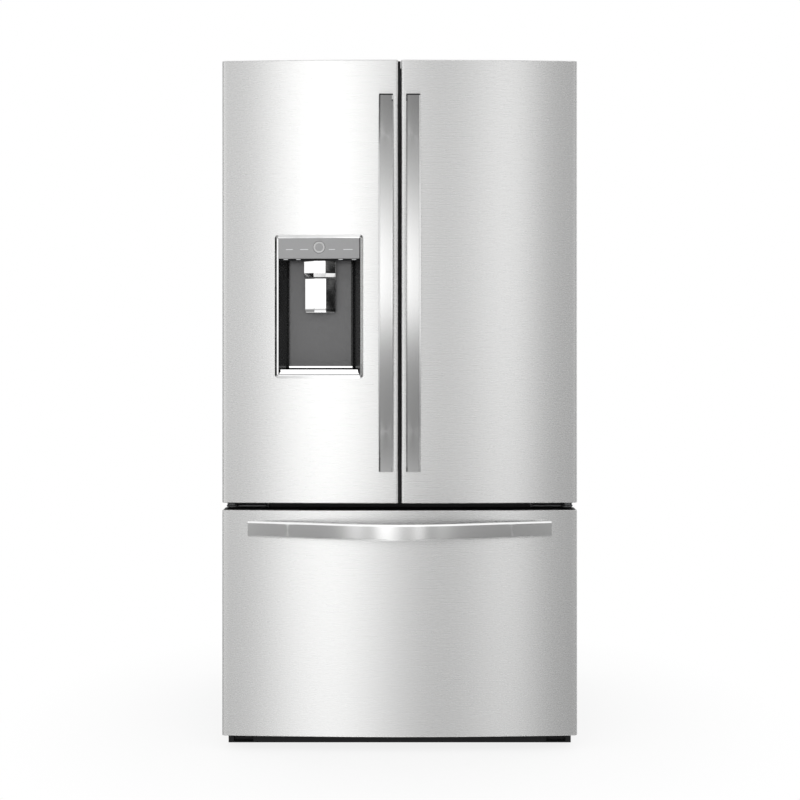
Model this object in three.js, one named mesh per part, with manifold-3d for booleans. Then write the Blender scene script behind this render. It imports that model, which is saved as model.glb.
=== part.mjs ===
// A french door refrigerator: two curved doors over one freezer drawer, with an ice and water dispenser
// in the left door. Millimetres, +Z up, the front faces -Y, +X is to the right of someone facing it.
// The origin is on the floor, under the middle of the overall width and depth.
import * as THREE from "three";
import { mergeVertices } from "three/addons/utils/BufferGeometryUtils.js";
import Module from "manifold-3d";

const wasm = await Module();
wasm.setup();

// ---------- driving dimensions ----------
const WIDTH = 908; // across the doors
const DEPTH = 898; // handle fronts to rear cover
const DOOR_TOP = 1762;
const DOOR_BOTTOM = 631;
const DRAWER_TOP = 614;
const DRAWER_BOTTOM = 35;
const HANDLE_REACH = 70; // handle front ahead of the door
const DOOR_BULGE = 15; // how far the middle of the front stands ahead of its edges
const GAP = 0.3; // between pieces that rest on each other
const WALL = 3; // moulded plastic

const HALF = WIDTH / 2;
const DOOR_FRONT = -DEPTH / 2 + HANDLE_REACH;
const DOOR_BACK = DOOR_FRONT + 69;
const CASE_FRONT = DOOR_FRONT + 83;
const REAR = DEPTH / 2;
const COVER = 3; // rear cover sheet
const CASE_REAR = REAR - COVER - GAP;
const CASE_HALF = HALF - 4;
const CASE_BOTTOM = 45;
const CASE_TOP = 1740;
const FRONT_RADIUS = HALF ** 2 / (2 * DOOR_BULGE); // of the one arc that both doors and the drawer share

const SIDE_INSULATION = 45;
const FRIDGE = { half: CASE_HALF - SIDE_INSULATION, bottom: 655, top: 1695, rear: CASE_REAR - 66 };
const FREEZER = { half: 400, bottom: 100, top: 590, rear: 205, pocketFloor: 330, pocketRear: 375 };
const MACHINE = { half: 420, bottom: CASE_BOTTOM, top: 290, front: 250 };

const LEG = { x: HALF - 49, y: CASE_FRONT + 34, foot: 19 };
const HINGE = { x: HALF - 24, y: DOOR_FRONT + 45, pin: 5, hole: 5.5 };
const CENTRE_GAP = 4; // from the middle plane to each door's edge
const GASKET = { outer: HINGE.x, width: 14, centre: 16, back: CASE_FRONT - GAP, front: DOOR_BACK + GAP };
const DIKE = { outer: 392, centre: 47, wall: 12, bottom: 672, top: 1680, back: -235 };

const MULLION = { x: -36, y: CASE_FRONT + 9, thick: 17.4, reach: 69, fold: 85, bottom: 664, top: 1686 };

const HANDLE = { x: 34.5, width: 34, bottom: 713, top: 1673, thick: 13, end: 12, foot: 0.93, steps: 24 };
const DRAWER_HANDLE = { half: 387, bottom: 549.5, top: 586 };

const DISPENSER = { x: -205.6, z: 1133, width: 224, height: 364, radius: 9, rim: 8.5, proud: 3 };
const RECESS = { bottom: 960, top: 1255, frontHalf: 104.3, backHalf: 83, depth: 56 };

const RAIL = { out: 396, bottom: 300, top: 340, front: -285, rear: 186 };
const FRAME = { front: -289.7, rear: 180, top: 461.7 };
const GEAR = { module: 3, teeth: 10, addendum: 0.6, dedendum: 0.8, backlash: 1, y: 165, z: 280, angle: 20 };

const rad = (deg) => (deg * Math.PI) / 180;

// ---------- materials ----------
const paint = (color, roughness, metalness) =>
  new THREE.MeshStandardMaterial({ color, roughness, metalness });
const stainless = paint(0xc4c4c2, 0.32, 1);
const polished = paint(0xe2e2e2, 0.1, 1);
const casePaint = paint(0x8d9093, 0.5, 0.3);
const liner = paint(0xeef0f1, 0.35, 0);
const rubber = paint(0x3a3b3d, 0.8, 0);
const darkPlastic = paint(0x18191b, 0.5, 0);
const panelGrey = paint(0x9b9b9b, 0.4, 0.4);
const recessGrey = paint(0x4e4f50, 0.45, 0.5);
const clearPlastic = paint(0xdfe9ee, 0.12, 0);
const shelfGlass = paint(0xcfe3e0, 0.05, 0);
const zinc = paint(0xa5a8aa, 0.4, 0.9);
const blackEnamel = paint(0x1b1b1c, 0.45, 0.4);
const coil = paint(0xb9bcbe, 0.4, 0.9);

// ---------- solids ----------
const toManifold = (geometry) => {
  const g = geometry.clone();
  g.deleteAttribute("normal");
  g.deleteAttribute("uv");
  const merged = mergeVertices(g, 1e-4);
  return new wasm.Manifold(
    new wasm.Mesh({
      numProp: 3,
      vertProperties: Float32Array.from(merged.attributes.position.array),
      triVerts: Uint32Array.from(merged.index.array),
    }),
  );
};

const toGeometry = (manifold) => {
  const m = manifold.getMesh();
  return new THREE.BufferGeometry()
    .setAttribute("position", new THREE.BufferAttribute(Float32Array.from(m.vertProperties), 3))
    .setIndex(new THREE.BufferAttribute(Uint32Array.from(m.triVerts), 1));
};

const box = (x0, x1, y0, y1, z0, z1) =>
  toManifold(
    new THREE.BoxGeometry(x1 - x0, y1 - y0, z1 - z0).translate((x0 + x1) / 2, (y0 + y1) / 2, (z0 + z1) / 2),
  );
const joined = (first, ...rest) => rest.reduce((all, next) => all.add(next), first);
const cut = (first, ...rest) => rest.reduce((all, next) => all.subtract(next), first);

const outline = (points) => new THREE.Shape(points.map(([a, b]) => new THREE.Vector2(a, b)));
const extruded = (shape, depth, curveSegments = 6) =>
  new THREE.ExtrudeGeometry(shape, { depth, bevelEnabled: false, curveSegments });

// A plan outline (x, y) raised from z0 to z1.
const raised = (shape, z0, z1) => toManifold(extruded(shape, z1 - z0).translate(0, 0, z0));
// A front outline (x, z) drawn from y0 back to y1.
const fromFront = (shape, y0, y1, curve) =>
  toManifold(extruded(shape, y1 - y0, curve).rotateX(Math.PI / 2).translate(0, y1, 0));
// A side outline (y, z) drawn from x0 to x1.
const fromSide = (shape, x0, x1) => {
  const turn = new THREE.Matrix4().makeBasis(
    new THREE.Vector3(0, 1, 0),
    new THREE.Vector3(0, 0, 1),
    new THREE.Vector3(1, 0, 0),
  );
  return toManifold(extruded(shape, x1 - x0).applyMatrix4(turn).translate(x0, 0, 0));
};

const roundedRect = (a0, a1, b0, b1, r) => {
  const s = new THREE.Shape();
  s.moveTo(a0 + r, b0);
  s.lineTo(a1 - r, b0);
  s.absarc(a1 - r, b0 + r, r, -Math.PI / 2, 0);
  s.lineTo(a1, b1 - r);
  s.absarc(a1 - r, b1 - r, r, 0, Math.PI / 2);
  s.lineTo(a0 + r, b1);
  s.absarc(a0 + r, b1 - r, r, Math.PI / 2, Math.PI);
  s.lineTo(a0, b0 + r);
  s.absarc(a0 + r, b0 + r, r, Math.PI, 1.5 * Math.PI);
  return s;
};

const uprightRod = (x, y, r, z0, z1, sides = 16) =>
  toManifold(
    new THREE.CylinderGeometry(r, r, z1 - z0, sides).rotateX(Math.PI / 2).translate(x, y, (z0 + z1) / 2),
  );
const crossRod = (x0, x1, y, z, r, sides = 16) =>
  toManifold(
    new THREE.CylinderGeometry(r, r, x1 - x0, sides).rotateZ(Math.PI / 2).translate((x0 + x1) / 2, y, z),
  );
const depthRod = (x, z, r, y0, y1, sides = 20) =>
  toManifold(new THREE.CylinderGeometry(r, r, y1 - y0, sides).translate(x, (y0 + y1) / 2, z));

// A box that is hollow and open on one side: "front" (-Y) or "top" (+Z).
const tub = (x0, x1, y0, y1, z0, z1, wall, open) =>
  cut(
    box(x0, x1, y0, y1, z0, z1),
    open === "front"
      ? box(x0 + wall, x1 - wall, y0 - 1, y1 - wall, z0 + wall, z1 - wall)
      : box(x0 + wall, x1 - wall, y0 + wall, y1 - wall, z0 + wall, z1 + 1),
  );

// ---------- the tree ----------
const refrigerator = new THREE.Group();
const add = (name, solid, material, group = refrigerator) => {
  const mesh = new THREE.Mesh(toGeometry(solid), material);
  mesh.name = name;
  group.add(mesh);
  return mesh;
};
const mirrored = (side, build) => build(side === "left" ? -1 : 1, side);
const span = (sign, near, far) => (sign < 0 ? [-far, -near] : [near, far]);

// ---------- curved fronts ----------
const frontAt = (x) => DOOR_FRONT + FRONT_RADIUS - Math.sqrt(FRONT_RADIUS ** 2 - x ** 2);

// The plan of a door or drawer front between x0 and x1: a shared arc in front, flat behind.
const frontPlan = (x0, x1, steps) => {
  const edge = 5;
  const points = [[x1, DOOR_BACK], [x0, DOOR_BACK]];
  for (let i = 0; i <= 2; i++) {
    const a = rad(45 * i);
    points.push([x0 + edge - edge * Math.cos(a), frontAt(x0) + edge - edge * Math.sin(a)]);
  }
  for (let i = 1; i < steps; i++) {
    const x = x0 + ((x1 - x0) * i) / steps;
    points.push([x, frontAt(x)]);
  }
  for (let i = 2; i >= 0; i--) {
    const a = rad(45 * i);
    points.push([x1 - edge + edge * Math.cos(a), frontAt(x1) + edge - edge * Math.sin(a)]);
  }
  return outline(points);
};

// How far out a handle bows, 1 in the middle and 0 at both ends: the upright ones on a plain arc, the
// level one with its ends swept in.
const plainBow = (u) => 1 - u * u;
const sweptBow = (u) => 0.5 * plainBow(u) + 0.5 * Math.cos((Math.PI * u) / 2) ** 2;

// Front and back lines of a bowed bar: t runs along it and n stands off the door.
const bowedBar = (t0, t1, endFront, middleFront, surface, bow) => {
  const front = [];
  const back = [];
  for (let i = 0; i <= HANDLE.steps; i++) {
    const u = -1 + (2 * i) / HANDLE.steps;
    const t = t0 + ((u + 1) / 2) * (t1 - t0);
    const n = endFront + (middleFront - endFront) * bow(u);
    front.push([t, n]);
    const foot = Math.abs(u) >= HANDLE.foot - 0.02;
    back.push([t, foot ? surface(t) - 0.4 : Math.min(n + HANDLE.thick, surface(t) - 0.4)]);
  }
  return { front, back: back.reverse() };
};

// ---------- cabinet ----------
function cabinet() {
  const notches = [
    box(-FRIDGE.half, FRIDGE.half, CASE_FRONT - 1, FRIDGE.rear, FRIDGE.bottom, FRIDGE.top),
    box(-FREEZER.half, FREEZER.half, CASE_FRONT - 1, FREEZER.rear, FREEZER.bottom, FREEZER.top),
    box(-FREEZER.half, FREEZER.half, FREEZER.rear - 1, FREEZER.pocketRear, FREEZER.pocketFloor, FREEZER.top),
    box(-MACHINE.half, MACHINE.half, MACHINE.front, CASE_REAR + 1, MACHINE.bottom - 1, MACHINE.top),
  ];
  const legHoles = [-1, 1].map((s) => uprightRod(s * LEG.x, LEG.y, 7, CASE_BOTTOM - 1, 92));
  add(
    "cabinet_case",
    cut(box(-CASE_HALF, CASE_HALF, CASE_FRONT, CASE_REAR, CASE_BOTTOM, CASE_TOP), ...notches, ...legHoles),
    casePaint,
  );
  add(
    "fridge_liner",
    tub(
      -FRIDGE.half + GAP, FRIDGE.half - GAP, CASE_FRONT, FRIDGE.rear - GAP,
      FRIDGE.bottom + GAP, FRIDGE.top - GAP, WALL, "front",
    ),
    liner,
  );
  const shell = (g) =>
    joined(
      box(
        -FREEZER.half + g, FREEZER.half - g, CASE_FRONT - (g > 1 ? 1 : 0), FREEZER.rear - g,
        FREEZER.bottom + g, FREEZER.top - g,
      ),
      box(
        -FREEZER.half + g, FREEZER.half - g, FREEZER.rear - 20, FREEZER.pocketRear - g,
        FREEZER.pocketFloor + g, FREEZER.top - g,
      ),
    );
  add("freezer_liner", cut(shell(GAP), shell(GAP + WALL)), liner);
}

// The steel floor of the machine bay, with a pair of ears for each rear roller.
const ROLLER = { x: 395, y: 395, radius: 19.5, width: 22, axle: 4 };
function basePan() {
  const plate = box(-MACHINE.half + GAP, MACHINE.half - GAP, MACHINE.front + GAP, CASE_REAR, 47, 51);
  const ears = [-1, 1].flatMap((s) =>
    [-1, 1].map((side) => {
      const x = s * ROLLER.x + side * (ROLLER.width / 2 + 4);
      return box(x - 2, x + 2, ROLLER.y - 17, ROLLER.y + 17, 8, 47.5);
    }),
  );
  const axleHoles = [-1, 1].map((s) =>
    crossRod(s * ROLLER.x - 30, s * ROLLER.x + 30, ROLLER.y, ROLLER.radius, ROLLER.axle + 0.4),
  );
  add("base_pan", cut(joined(plate, ...ears), ...axleHoles), zinc);
  for (const side of ["left", "right"])
    mirrored(side, (s) =>
      add(
        `rear_roller_${side}`,
        joined(
          crossRod(s * ROLLER.x - 11, s * ROLLER.x + 11, ROLLER.y, ROLLER.radius, ROLLER.radius, 24),
          crossRod(s * ROLLER.x - 20, s * ROLLER.x + 20, ROLLER.y, ROLLER.radius, ROLLER.axle),
        ),
        darkPlastic,
      ),
    );
}

function rearCover() {
  const slots = [];
  for (const x of [-270, 0, 270])
    for (let i = 0; i < 5; i++) slots.push(box(x - 95, x + 95, CASE_REAR, REAR + 1, 100 + i * 32, 112 + i * 32));
  add(
    "rear_cover",
    cut(box(-MACHINE.half - 12, MACHINE.half + 12, REAR - COVER, REAR, 48, MACHINE.top + 12), ...slots),
    zinc,
  );
}

function machineBay() {
  const profile = [[0, 52], [62, 52], [78, 66], [82, 100], [82, 170], [74, 200], [48, 222], [0, 228]];
  const can = new THREE.LatheGeometry(profile.map(([r, z]) => new THREE.Vector2(r, z)), 24);
  add("compressor", toManifold(can.rotateX(Math.PI / 2).translate(230, 345, 0)), blackEnamel);
  const fins = [];
  for (let i = 0; i < 10; i++) fins.push(box(-370 + i * 23, -360 + i * 23, 275, 415, 75, 245));
  const tubes = [110, 160, 210].map((z) => crossRod(-380, -145, 345, z, 7, 6));
  add("condenser_coil", joined(box(-376, -148, 272, 280, 51.5, 245), ...fins, ...tubes), coil);
  const fan = { x: -70, y: 345, z: 160 };
  const blades = [0, 1, 2, 3, 4].map((i) => {
    const blade = new THREE.BoxGeometry(3, 30, 58).rotateZ(rad(30)).translate(0, 0, 44);
    return toManifold(blade.rotateX(rad(72 * i)).translate(fan.x, fan.y, fan.z));
  });
  add("condenser_fan", joined(crossRod(fan.x - 14, fan.x + 14, fan.y, fan.z, 20, 20), ...blades), darkPlastic);
}

function base() {
  const face = box(-444, 444, CASE_FRONT - 22, CASE_FRONT - 6, 4, DRAWER_BOTTOM - 3);
  const web = box(-440, 440, CASE_FRONT - 10, CASE_FRONT - 6, 30, CASE_BOTTOM - GAP);
  const flange = box(-440, 440, CASE_FRONT - 6.5, CASE_FRONT + 60, CASE_BOTTOM - 4, CASE_BOTTOM - GAP);
  const windows = [-1, 1].map((s) =>
    box(s * LEG.x - 25, s * LEG.x + 25, CASE_FRONT - 30, CASE_FRONT - 12, 8, 25),
  );
  const screwHoles = [-1, 1].map((s) => uprightRod(s * LEG.x, LEG.y, 7, 30, CASE_BOTTOM + 1));
  add("base_grille", cut(joined(face, web, flange), ...windows, ...screwHoles), darkPlastic);
  for (const side of ["left", "right"])
    mirrored(side, (s) =>
      add(
        `levelling_leg_${side}`,
        joined(uprightRod(s * LEG.x, LEG.y, LEG.foot, 0, 12, 20), uprightRod(s * LEG.x, LEG.y, 6, 11, 80)),
        zinc,
      ),
    );
}

// ---------- hinges ----------
const NOTCH = { inner: 395, front: HINGE.y - 22, floor: CASE_TOP - 2 };
function hinges() {
  for (const side of ["left", "right"])
    mirrored(side, (s) => {
      const [a, b] = span(s, HINGE.x - 12, HINGE.x + 12);
      const [c, d] = span(s, 396, 444);
      const leaf = joined(
        uprightRod(s * HINGE.x, HINGE.y, 12, CASE_TOP + GAP, CASE_TOP + 4.3, 20),
        box(a, b, HINGE.y, CASE_FRONT + 20, CASE_TOP + GAP, CASE_TOP + 4.3),
        box(c, d, CASE_FRONT + 2, CASE_FRONT + 120, CASE_TOP + GAP, CASE_TOP + 4.3),
        uprightRod(s * HINGE.x, HINGE.y, HINGE.pin, CASE_TOP - 28, CASE_TOP + 8),
      );
      add(`top_hinge_${side}`, leaf, zinc);
      const [e, f] = span(s, 388, 449);
      const hood = box(e, f, CASE_FRONT + 2, CASE_FRONT + 140, CASE_TOP + GAP, DOOR_TOP - 1);
      const hollow = box(e + 3, f - 3, CASE_FRONT - 9, CASE_FRONT + 137, CASE_TOP - 1, DOOR_TOP - 4);
      add(`hinge_cover_${side}`, cut(hood, hollow), darkPlastic);
      const [g, h] = span(s, 345, 447);
      const leafTop = DRAWER_TOP + 7.5;
      const centre = joined(
        uprightRod(s * HINGE.x, HINGE.y, 14, leafTop - 4, leafTop, 20),
        box(g, h, HINGE.y + 4, CASE_FRONT - GAP, leafTop - 4, leafTop),
        box(g, h, CASE_FRONT - 4, CASE_FRONT - GAP, 610, DOOR_BOTTOM - 1),
        uprightRod(s * HINGE.x, HINGE.y, 9, leafTop - 1, DOOR_BOTTOM - 0.5),
        uprightRod(s * HINGE.x, HINGE.y, HINGE.pin, leafTop, 655),
      );
      add(`centre_hinge_${side}`, centre, zinc);
    });
}

// ---------- inside the fridge ----------
const SHELF = { front: -140, rear: 335, hook: 342, thick: 12 };
function shelf(name, x0, x1, z) {
  const panel = box(x0, x1, SHELF.front, SHELF.rear, z, z + SHELF.thick);
  const side = outline([[SHELF.front + 60, z + 1], [SHELF.hook, z - 45], [SHELF.hook, z + 1]]);
  add(name, joined(panel, fromSide(side, x0, x0 + 6), fromSide(side, x1 - 6, x1)), shelfGlass);
}

const CRISPER = { front: -100, rear: 310, bottom: 659, top: 848 };
function fridgeInside() {
  const slots = [];
  for (let i = 0; i < 6; i++)
    for (const s of [-1, 1]) slots.push(box(s * 62 - 30, s * 62 + 30, 340, 350, 1010 + i * 105, 1024 + i * 105));
  add("air_duct", cut(box(-110, 110, 344, FRIDGE.rear - WALL - 2 * GAP, 960, 1640), ...slots), liner);
  shelf("upper_shelf_left", -398, -4, 1330);
  shelf("upper_shelf_right", 4, 398, 1400);
  shelf("middle_shelf", -398, 398, 1090);
  const lid = box(-399, 399, -112, 330, 858, 872);
  const divider = box(-4, 4, -90, 325, CRISPER.bottom, 859);
  const sides = [-399, 392].map((x) => box(x, x + 7, -90, 325, 838, 859));
  add("crisper_shelf", joined(lid, divider, ...sides), shelfGlass);
  for (const side of ["left", "right"])
    mirrored(side, (s) => {
      const [a, b] = span(s, 8, 388);
      const bin = tub(a, b, CRISPER.front, CRISPER.rear, CRISPER.bottom, CRISPER.top, WALL, "top");
      const grip = box(a + 40, b - 40, CRISPER.front - 14, CRISPER.front + 0.5, CRISPER.top - 34, CRISPER.top);
      const finger = box(a + 43, b - 43, CRISPER.front - 11, CRISPER.front - 0.1, CRISPER.top - 35, CRISPER.top - 4);
      add(`crisper_${side}`, cut(joined(bin, grip), finger), clearPlastic);
    });
}

// ---------- doors ----------
const doorSpan = (s) => span(s, CENTRE_GAP, HALF);

function doorShell(side, s) {
  const [x0, x1] = doorSpan(s);
  const [n0, n1] = span(s, NOTCH.inner, HALF + 5);
  let shell = cut(
    raised(frontPlan(x0, x1, 12), DOOR_BOTTOM, DOOR_TOP),
    box(n0, n1, NOTCH.front, DOOR_BACK + 1, NOTCH.floor, DOOR_TOP + 1),
    uprightRod(s * HINGE.x, HINGE.y, HINGE.hole, CASE_TOP - 32, NOTCH.floor + 1),
    uprightRod(s * HINGE.x, HINGE.y, HINGE.hole, DOOR_BOTTOM - 1, 659),
  );
  if (side === "left") shell = cut(shell, dispenserCut());
  add(`${side}_door_panel`, shell, stainless);
}

// The moulded inner side of a door: a flat panel with a raised rim that the bins hang between.
function doorLiner(side, s) {
  const [x0, x1] = span(s, DIKE.centre, DIKE.outer);
  const panel = box(x0, x1, GASKET.front, -300, DIKE.bottom, DIKE.top);
  const rim = cut(
    box(x0, x1, -301, DIKE.back, DIKE.bottom, DIKE.top),
    box(x0 + DIKE.wall, x1 - DIKE.wall, -302, DIKE.back + 1, DIKE.bottom + DIKE.wall, DIKE.top - DIKE.wall),
  );
  add(`${side}_door_liner`, joined(panel, rim), liner);
}

const ring = (x0, x1, z0, z1, width, y0, y1, radius) => {
  const shape = roundedRect(x0, x1, z0, z1, radius);
  const inner = Math.max(radius - width, 0.6);
  shape.holes.push(roundedRect(x0 + width, x1 - width, z0 + width, z1 - width, inner));
  return fromFront(shape, y0, y1, 4);
};

function doorGasket(side, s) {
  const [x0, x1] = span(s, GASKET.centre, GASKET.outer);
  add(`${side}_door_gasket`, ring(x0, x1, 638, 1714, GASKET.width, GASKET.front, GASKET.back, 8), rubber);
}

function doorHandle(side, s) {
  const { front, back } = bowedBar(
    HANDLE.bottom, HANDLE.top, DOOR_FRONT - HANDLE.end, -DEPTH / 2, () => DOOR_FRONT, plainBow,
  );
  const points = [...front, ...back].map(([z, y]) => [y, z]);
  const [x0, x1] = span(s, HANDLE.x - HANDLE.width / 2, HANDLE.x + HANDLE.width / 2);
  add(`${side}_door_handle`, fromSide(outline(points), x0, x1), stainless);
}

// A door bin hangs between the rims of the door liner.
function doorBin(name, s, z0, height, depth) {
  const [x0, x1] = span(s, DIKE.centre + DIKE.wall + 1, DIKE.outer - DIKE.wall - 1);
  add(name, tub(x0, x1, -299, -299 + depth, z0, z0 + height, WALL, "top"), clearPlastic);
}

function iceModule() {
  const [x0, x1] = span(-1, 62, 378);
  const tank = box(x0, x1, -299, -168, 1345, 1640);
  const bucket = box(x0 + 8, x1 - 8, -291, -176, 1360, 1641);
  const mouth = box(x0 + 120, x1 - 120, -290, -230, 1344, 1361);
  add("ice_bin", cut(tank, bucket, mouth), liner);
}

// A bar that folds in behind the left door when it opens, and closes the gap between the doors.
function doorMullion() {
  const half = MULLION.thick / 2;
  const section = roundedRect(-8, MULLION.reach, -half, half, 5);
  const bar = add("door_mullion", raised(section, MULLION.bottom, MULLION.top), darkPlastic);
  bar.position.set(MULLION.x, MULLION.y, 0);
  bar.rotation.z = rad(MULLION.fold);
}

// ---------- dispenser, in the tangent plane of the left door ----------
const dispenserFace = frontAt(DISPENSER.x);
const dispenserTurn = Math.asin(DISPENSER.x / FRONT_RADIUS);

// In the dispenser's own frame x is across it, y is depth behind the door surface, and z is height.
const recessHalf = (y) => RECESS.frontHalf - ((RECESS.frontHalf - RECESS.backHalf) * y) / RECESS.depth;
const recessPlan = (grow, front, back) =>
  outline([
    [-recessHalf(front) - grow, front],
    [recessHalf(front) + grow, front],
    [recessHalf(back) + grow, back],
    [-recessHalf(back) - grow, back],
  ]);

function dispenserCut() {
  const hole = box(-108, 108, -20, 90, DISPENSER.z - 178, DISPENSER.z + 178);
  return hole.rotate([0, 0, (dispenserTurn * 180) / Math.PI]).translate([DISPENSER.x, dispenserFace, 0]);
}

function dispenser() {
  const group = new THREE.Group();
  group.position.set(DISPENSER.x, dispenserFace, 0);
  group.rotation.z = dispenserTurn;
  refrigerator.add(group);
  const { width, height, z, radius, rim, proud } = DISPENSER;
  const [w, h] = [width / 2, height / 2];
  add("dispenser_bezel", ring(-w, w, z - h, z + h, rim, -proud, -GAP, radius), polished, group);

  const housing = raised(recessPlan(WALL, 0.5, RECESS.depth + WALL), RECESS.bottom - WALL, RECESS.top + 48);
  const hollow = raised(recessPlan(0, 0, RECESS.depth), RECESS.bottom, RECESS.top);
  const panelSeat = box(-110, 110, -1, 18, RECESS.top - 1, RECESS.top + 60);
  add("dispenser_recess", cut(housing, hollow, panelSeat), recessGrey, group);

  const buttonX = 0.4;
  const buttonZ = 1283.7;
  const panel = cut(
    fromFront(roundedRect(-w + rim + GAP, w - rim - GAP, RECESS.top, z + h - rim - GAP, 2), -2, 12, 3),
    depthRod(buttonX, buttonZ, 15.4, -5, 9),
  );
  add("control_panel", panel, panelGrey, group);
  add("panel_button", depthRod(buttonX, buttonZ, 15, -3, 5), polished, group);

  const spout = cut(
    fromFront(roundedRect(-40.7, 40.7, 1209, RECESS.top - GAP, 3), 12, RECESS.depth - GAP),
    uprightRod(0, 32, 13, 1200, RECESS.top + 1),
  );
  add("dispenser_spout", spout, polished, group);

  const paddle = cut(
    fromFront(roundedRect(-39.5, 39.5, 1116.5, 1206, 8), 30, 40),
    fromFront(roundedRect(-34, 34, 1122, 1200, 4), 34, 41),
  );
  const axle = crossRod(-39.5, 39.5, 37, 1202, 3.6, 12);
  add("dispenser_paddle", joined(paddle, axle), polished, group);

  const floor = RECESS.bottom + GAP;
  const trayBox = (y0, y1, z1) => {
    const half = recessHalf(y1) - 1.2;
    return box(-half, half, y0, y1, floor, floor + z1);
  };
  const slats = [16, 23, 30, 37, 44].map((y) => trayBox(y, y + 3, 8));
  const dish = raised(recessPlan(-1, 3, 54.5), floor, floor + 4);
  const tray = joined(dish, trayBox(3, 10, 12), trayBox(49, 54.5, 20.5), ...slats);
  add("drip_tray", tray, polished, group);
}

// ---------- freezer drawer ----------
function drawerFront() {
  add("drawer_panel", raised(frontPlan(-HALF, HALF, 24), DRAWER_BOTTOM, DRAWER_TOP), stainless);
  add("drawer_gasket", ring(-430, 430, 70, 606, GASKET.width, GASKET.front, GASKET.back, 8), rubber);
  add(
    "drawer_liner",
    joined(box(-408, 408, GASKET.front, -300, 92, 584), box(-385, 385, -301, -290, 112, 564)),
    liner,
  );
  const { front, back } = bowedBar(
    -DRAWER_HANDLE.half, DRAWER_HANDLE.half, frontAt(DRAWER_HANDLE.half) - HANDLE.end, -DEPTH / 2,
    frontAt, sweptBow,
  );
  add(
    "drawer_handle",
    raised(outline([...front, ...back]), DRAWER_HANDLE.bottom, DRAWER_HANDLE.top),
    stainless,
  );
}

const PITCH = Math.PI * GEAR.module;
const PITCH_RADIUS = (GEAR.module * GEAR.teeth) / 2;
const RACK_LINE = GEAR.z - PITCH_RADIUS;

// The outline of a fixed rail seen from its side: a straight bar with rack teeth along its top.
function rackOutline() {
  const up = GEAR.addendum * GEAR.module;
  const down = GEAR.dedendum * GEAR.module;
  const slope = Math.tan(rad(GEAR.angle));
  const half = PITCH / 4 - GEAR.backlash / 4;
  const points = [[RAIL.front, RACK_LINE - 14]];
  const first = Math.ceil((RAIL.front - GEAR.y) / PITCH + 1);
  const last = Math.floor((RAIL.rear - GEAR.y) / PITCH - 1);
  const teeth = [];
  for (let i = first; i <= last; i++) {
    const y = GEAR.y + i * PITCH; // one tooth stands straight under the gear, in a gap between two of its teeth
    teeth.push([y - half - down * slope, RACK_LINE - down], [y - half + up * slope, RACK_LINE + up]);
    teeth.push([y + half - up * slope, RACK_LINE + up], [y + half + down * slope, RACK_LINE - down]);
  }
  points.push([RAIL.front, RACK_LINE - down], ...teeth, [RAIL.rear, RACK_LINE - down]);
  points.push([RAIL.rear, RACK_LINE - 14]);
  return outline(points.reverse());
}

// One gear: straight-sided points on an involute, with its teeth placed to mesh at rest.
function gearOutline() {
  const base = PITCH_RADIUS * Math.cos(rad(GEAR.angle));
  const tip = PITCH_RADIUS + GEAR.addendum * GEAR.module;
  const root = PITCH_RADIUS - GEAR.dedendum * GEAR.module;
  const involute = (r) => {
    const a = Math.acos(Math.min(1, base / r));
    return Math.tan(a) - a;
  };
  const halfTooth = (PITCH / 4 - GEAR.backlash / 4) / PITCH_RADIUS;
  const flank = (r) => halfTooth + involute(PITCH_RADIUS) - involute(Math.max(r, base));
  const radii = [root, base, PITCH_RADIUS, tip];
  const points = [];
  for (let i = 0; i < GEAR.teeth; i++) {
    const middle = (2 * Math.PI * (i + 0.5)) / GEAR.teeth - Math.PI / 2;
    for (const r of radii) points.push([r * Math.cos(middle - flank(r)), r * Math.sin(middle - flank(r))]);
    for (const r of [...radii].reverse())
      points.push([r * Math.cos(middle + flank(r)), r * Math.sin(middle + flank(r))]);
  }
  return outline(points.map(([a, b]) => [a + GEAR.y, b + GEAR.z]));
}

function slides() {
  for (const side of ["left", "right"])
    mirrored(side, (s) => {
      const [a, b] = span(s, RAIL.out - 1.5, RAIL.out);
      const [c, d] = span(s, 384, RAIL.out);
      const [e, f] = span(s, 382, RAIL.out);
      const outer = joined(
        box(a, b, RAIL.front, RAIL.rear, RACK_LINE - 14, RAIL.top),
        box(c, d, RAIL.front, RAIL.rear, RAIL.top - 1.5, RAIL.top),
        box(c, d, RAIL.front, RAIL.rear, RAIL.bottom, RAIL.bottom + 1.5),
        fromSide(rackOutline(), e, f),
      );
      add(`outer_rail_${side}`, outer, zinc);
      const [g, h] = span(s, 385, RAIL.out - 2);
      const middle = box(g, h, RAIL.front + 5, RAIL.rear - 5, RAIL.bottom + 2, RAIL.top - 2);
      add(`middle_rail_${side}`, middle, zinc);
    });
  const sides = [-1, 1].flatMap((s) => {
    const [a, b] = span(s, 376, 383.4);
    const [c, d] = span(s, 372, 378);
    const hanger = box(c, d, GEAR.y - 14, GEAR.y + 14, GEAR.z - 16, RAIL.bottom + 4);
    return [
      box(a, b, FRAME.front, FRAME.rear, RAIL.bottom, RAIL.top),
      box(a, b, FRAME.front, FRAME.rear, FRAME.top - 8, FRAME.top),
      box(a, b, FRAME.front, FRAME.front + 8, RAIL.top - 1, FRAME.top),
      box(a, b, FRAME.rear - 12, FRAME.rear, RAIL.top - 1, FRAME.top),
      cut(hanger, crossRod(c - 1, d + 1, GEAR.y, GEAR.z, 5)),
    ];
  });
  const tie = box(-377, 377, FRAME.rear - 12, FRAME.rear, RAIL.top - 12, RAIL.top);
  const foot = box(-377, 377, FRAME.front, FRAME.front + 8, RAIL.bottom, RAIL.top);
  add("drawer_frame", joined(tie, foot, ...sides), zinc);
  const gears = [-1, 1].map((s) => {
    const [a, b] = span(s, 384, 394);
    return fromSide(gearOutline(), a, b);
  });
  add("pinion_shaft", joined(crossRod(-392, 392, GEAR.y, GEAR.z, 4.5), ...gears), zinc);
}

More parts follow.
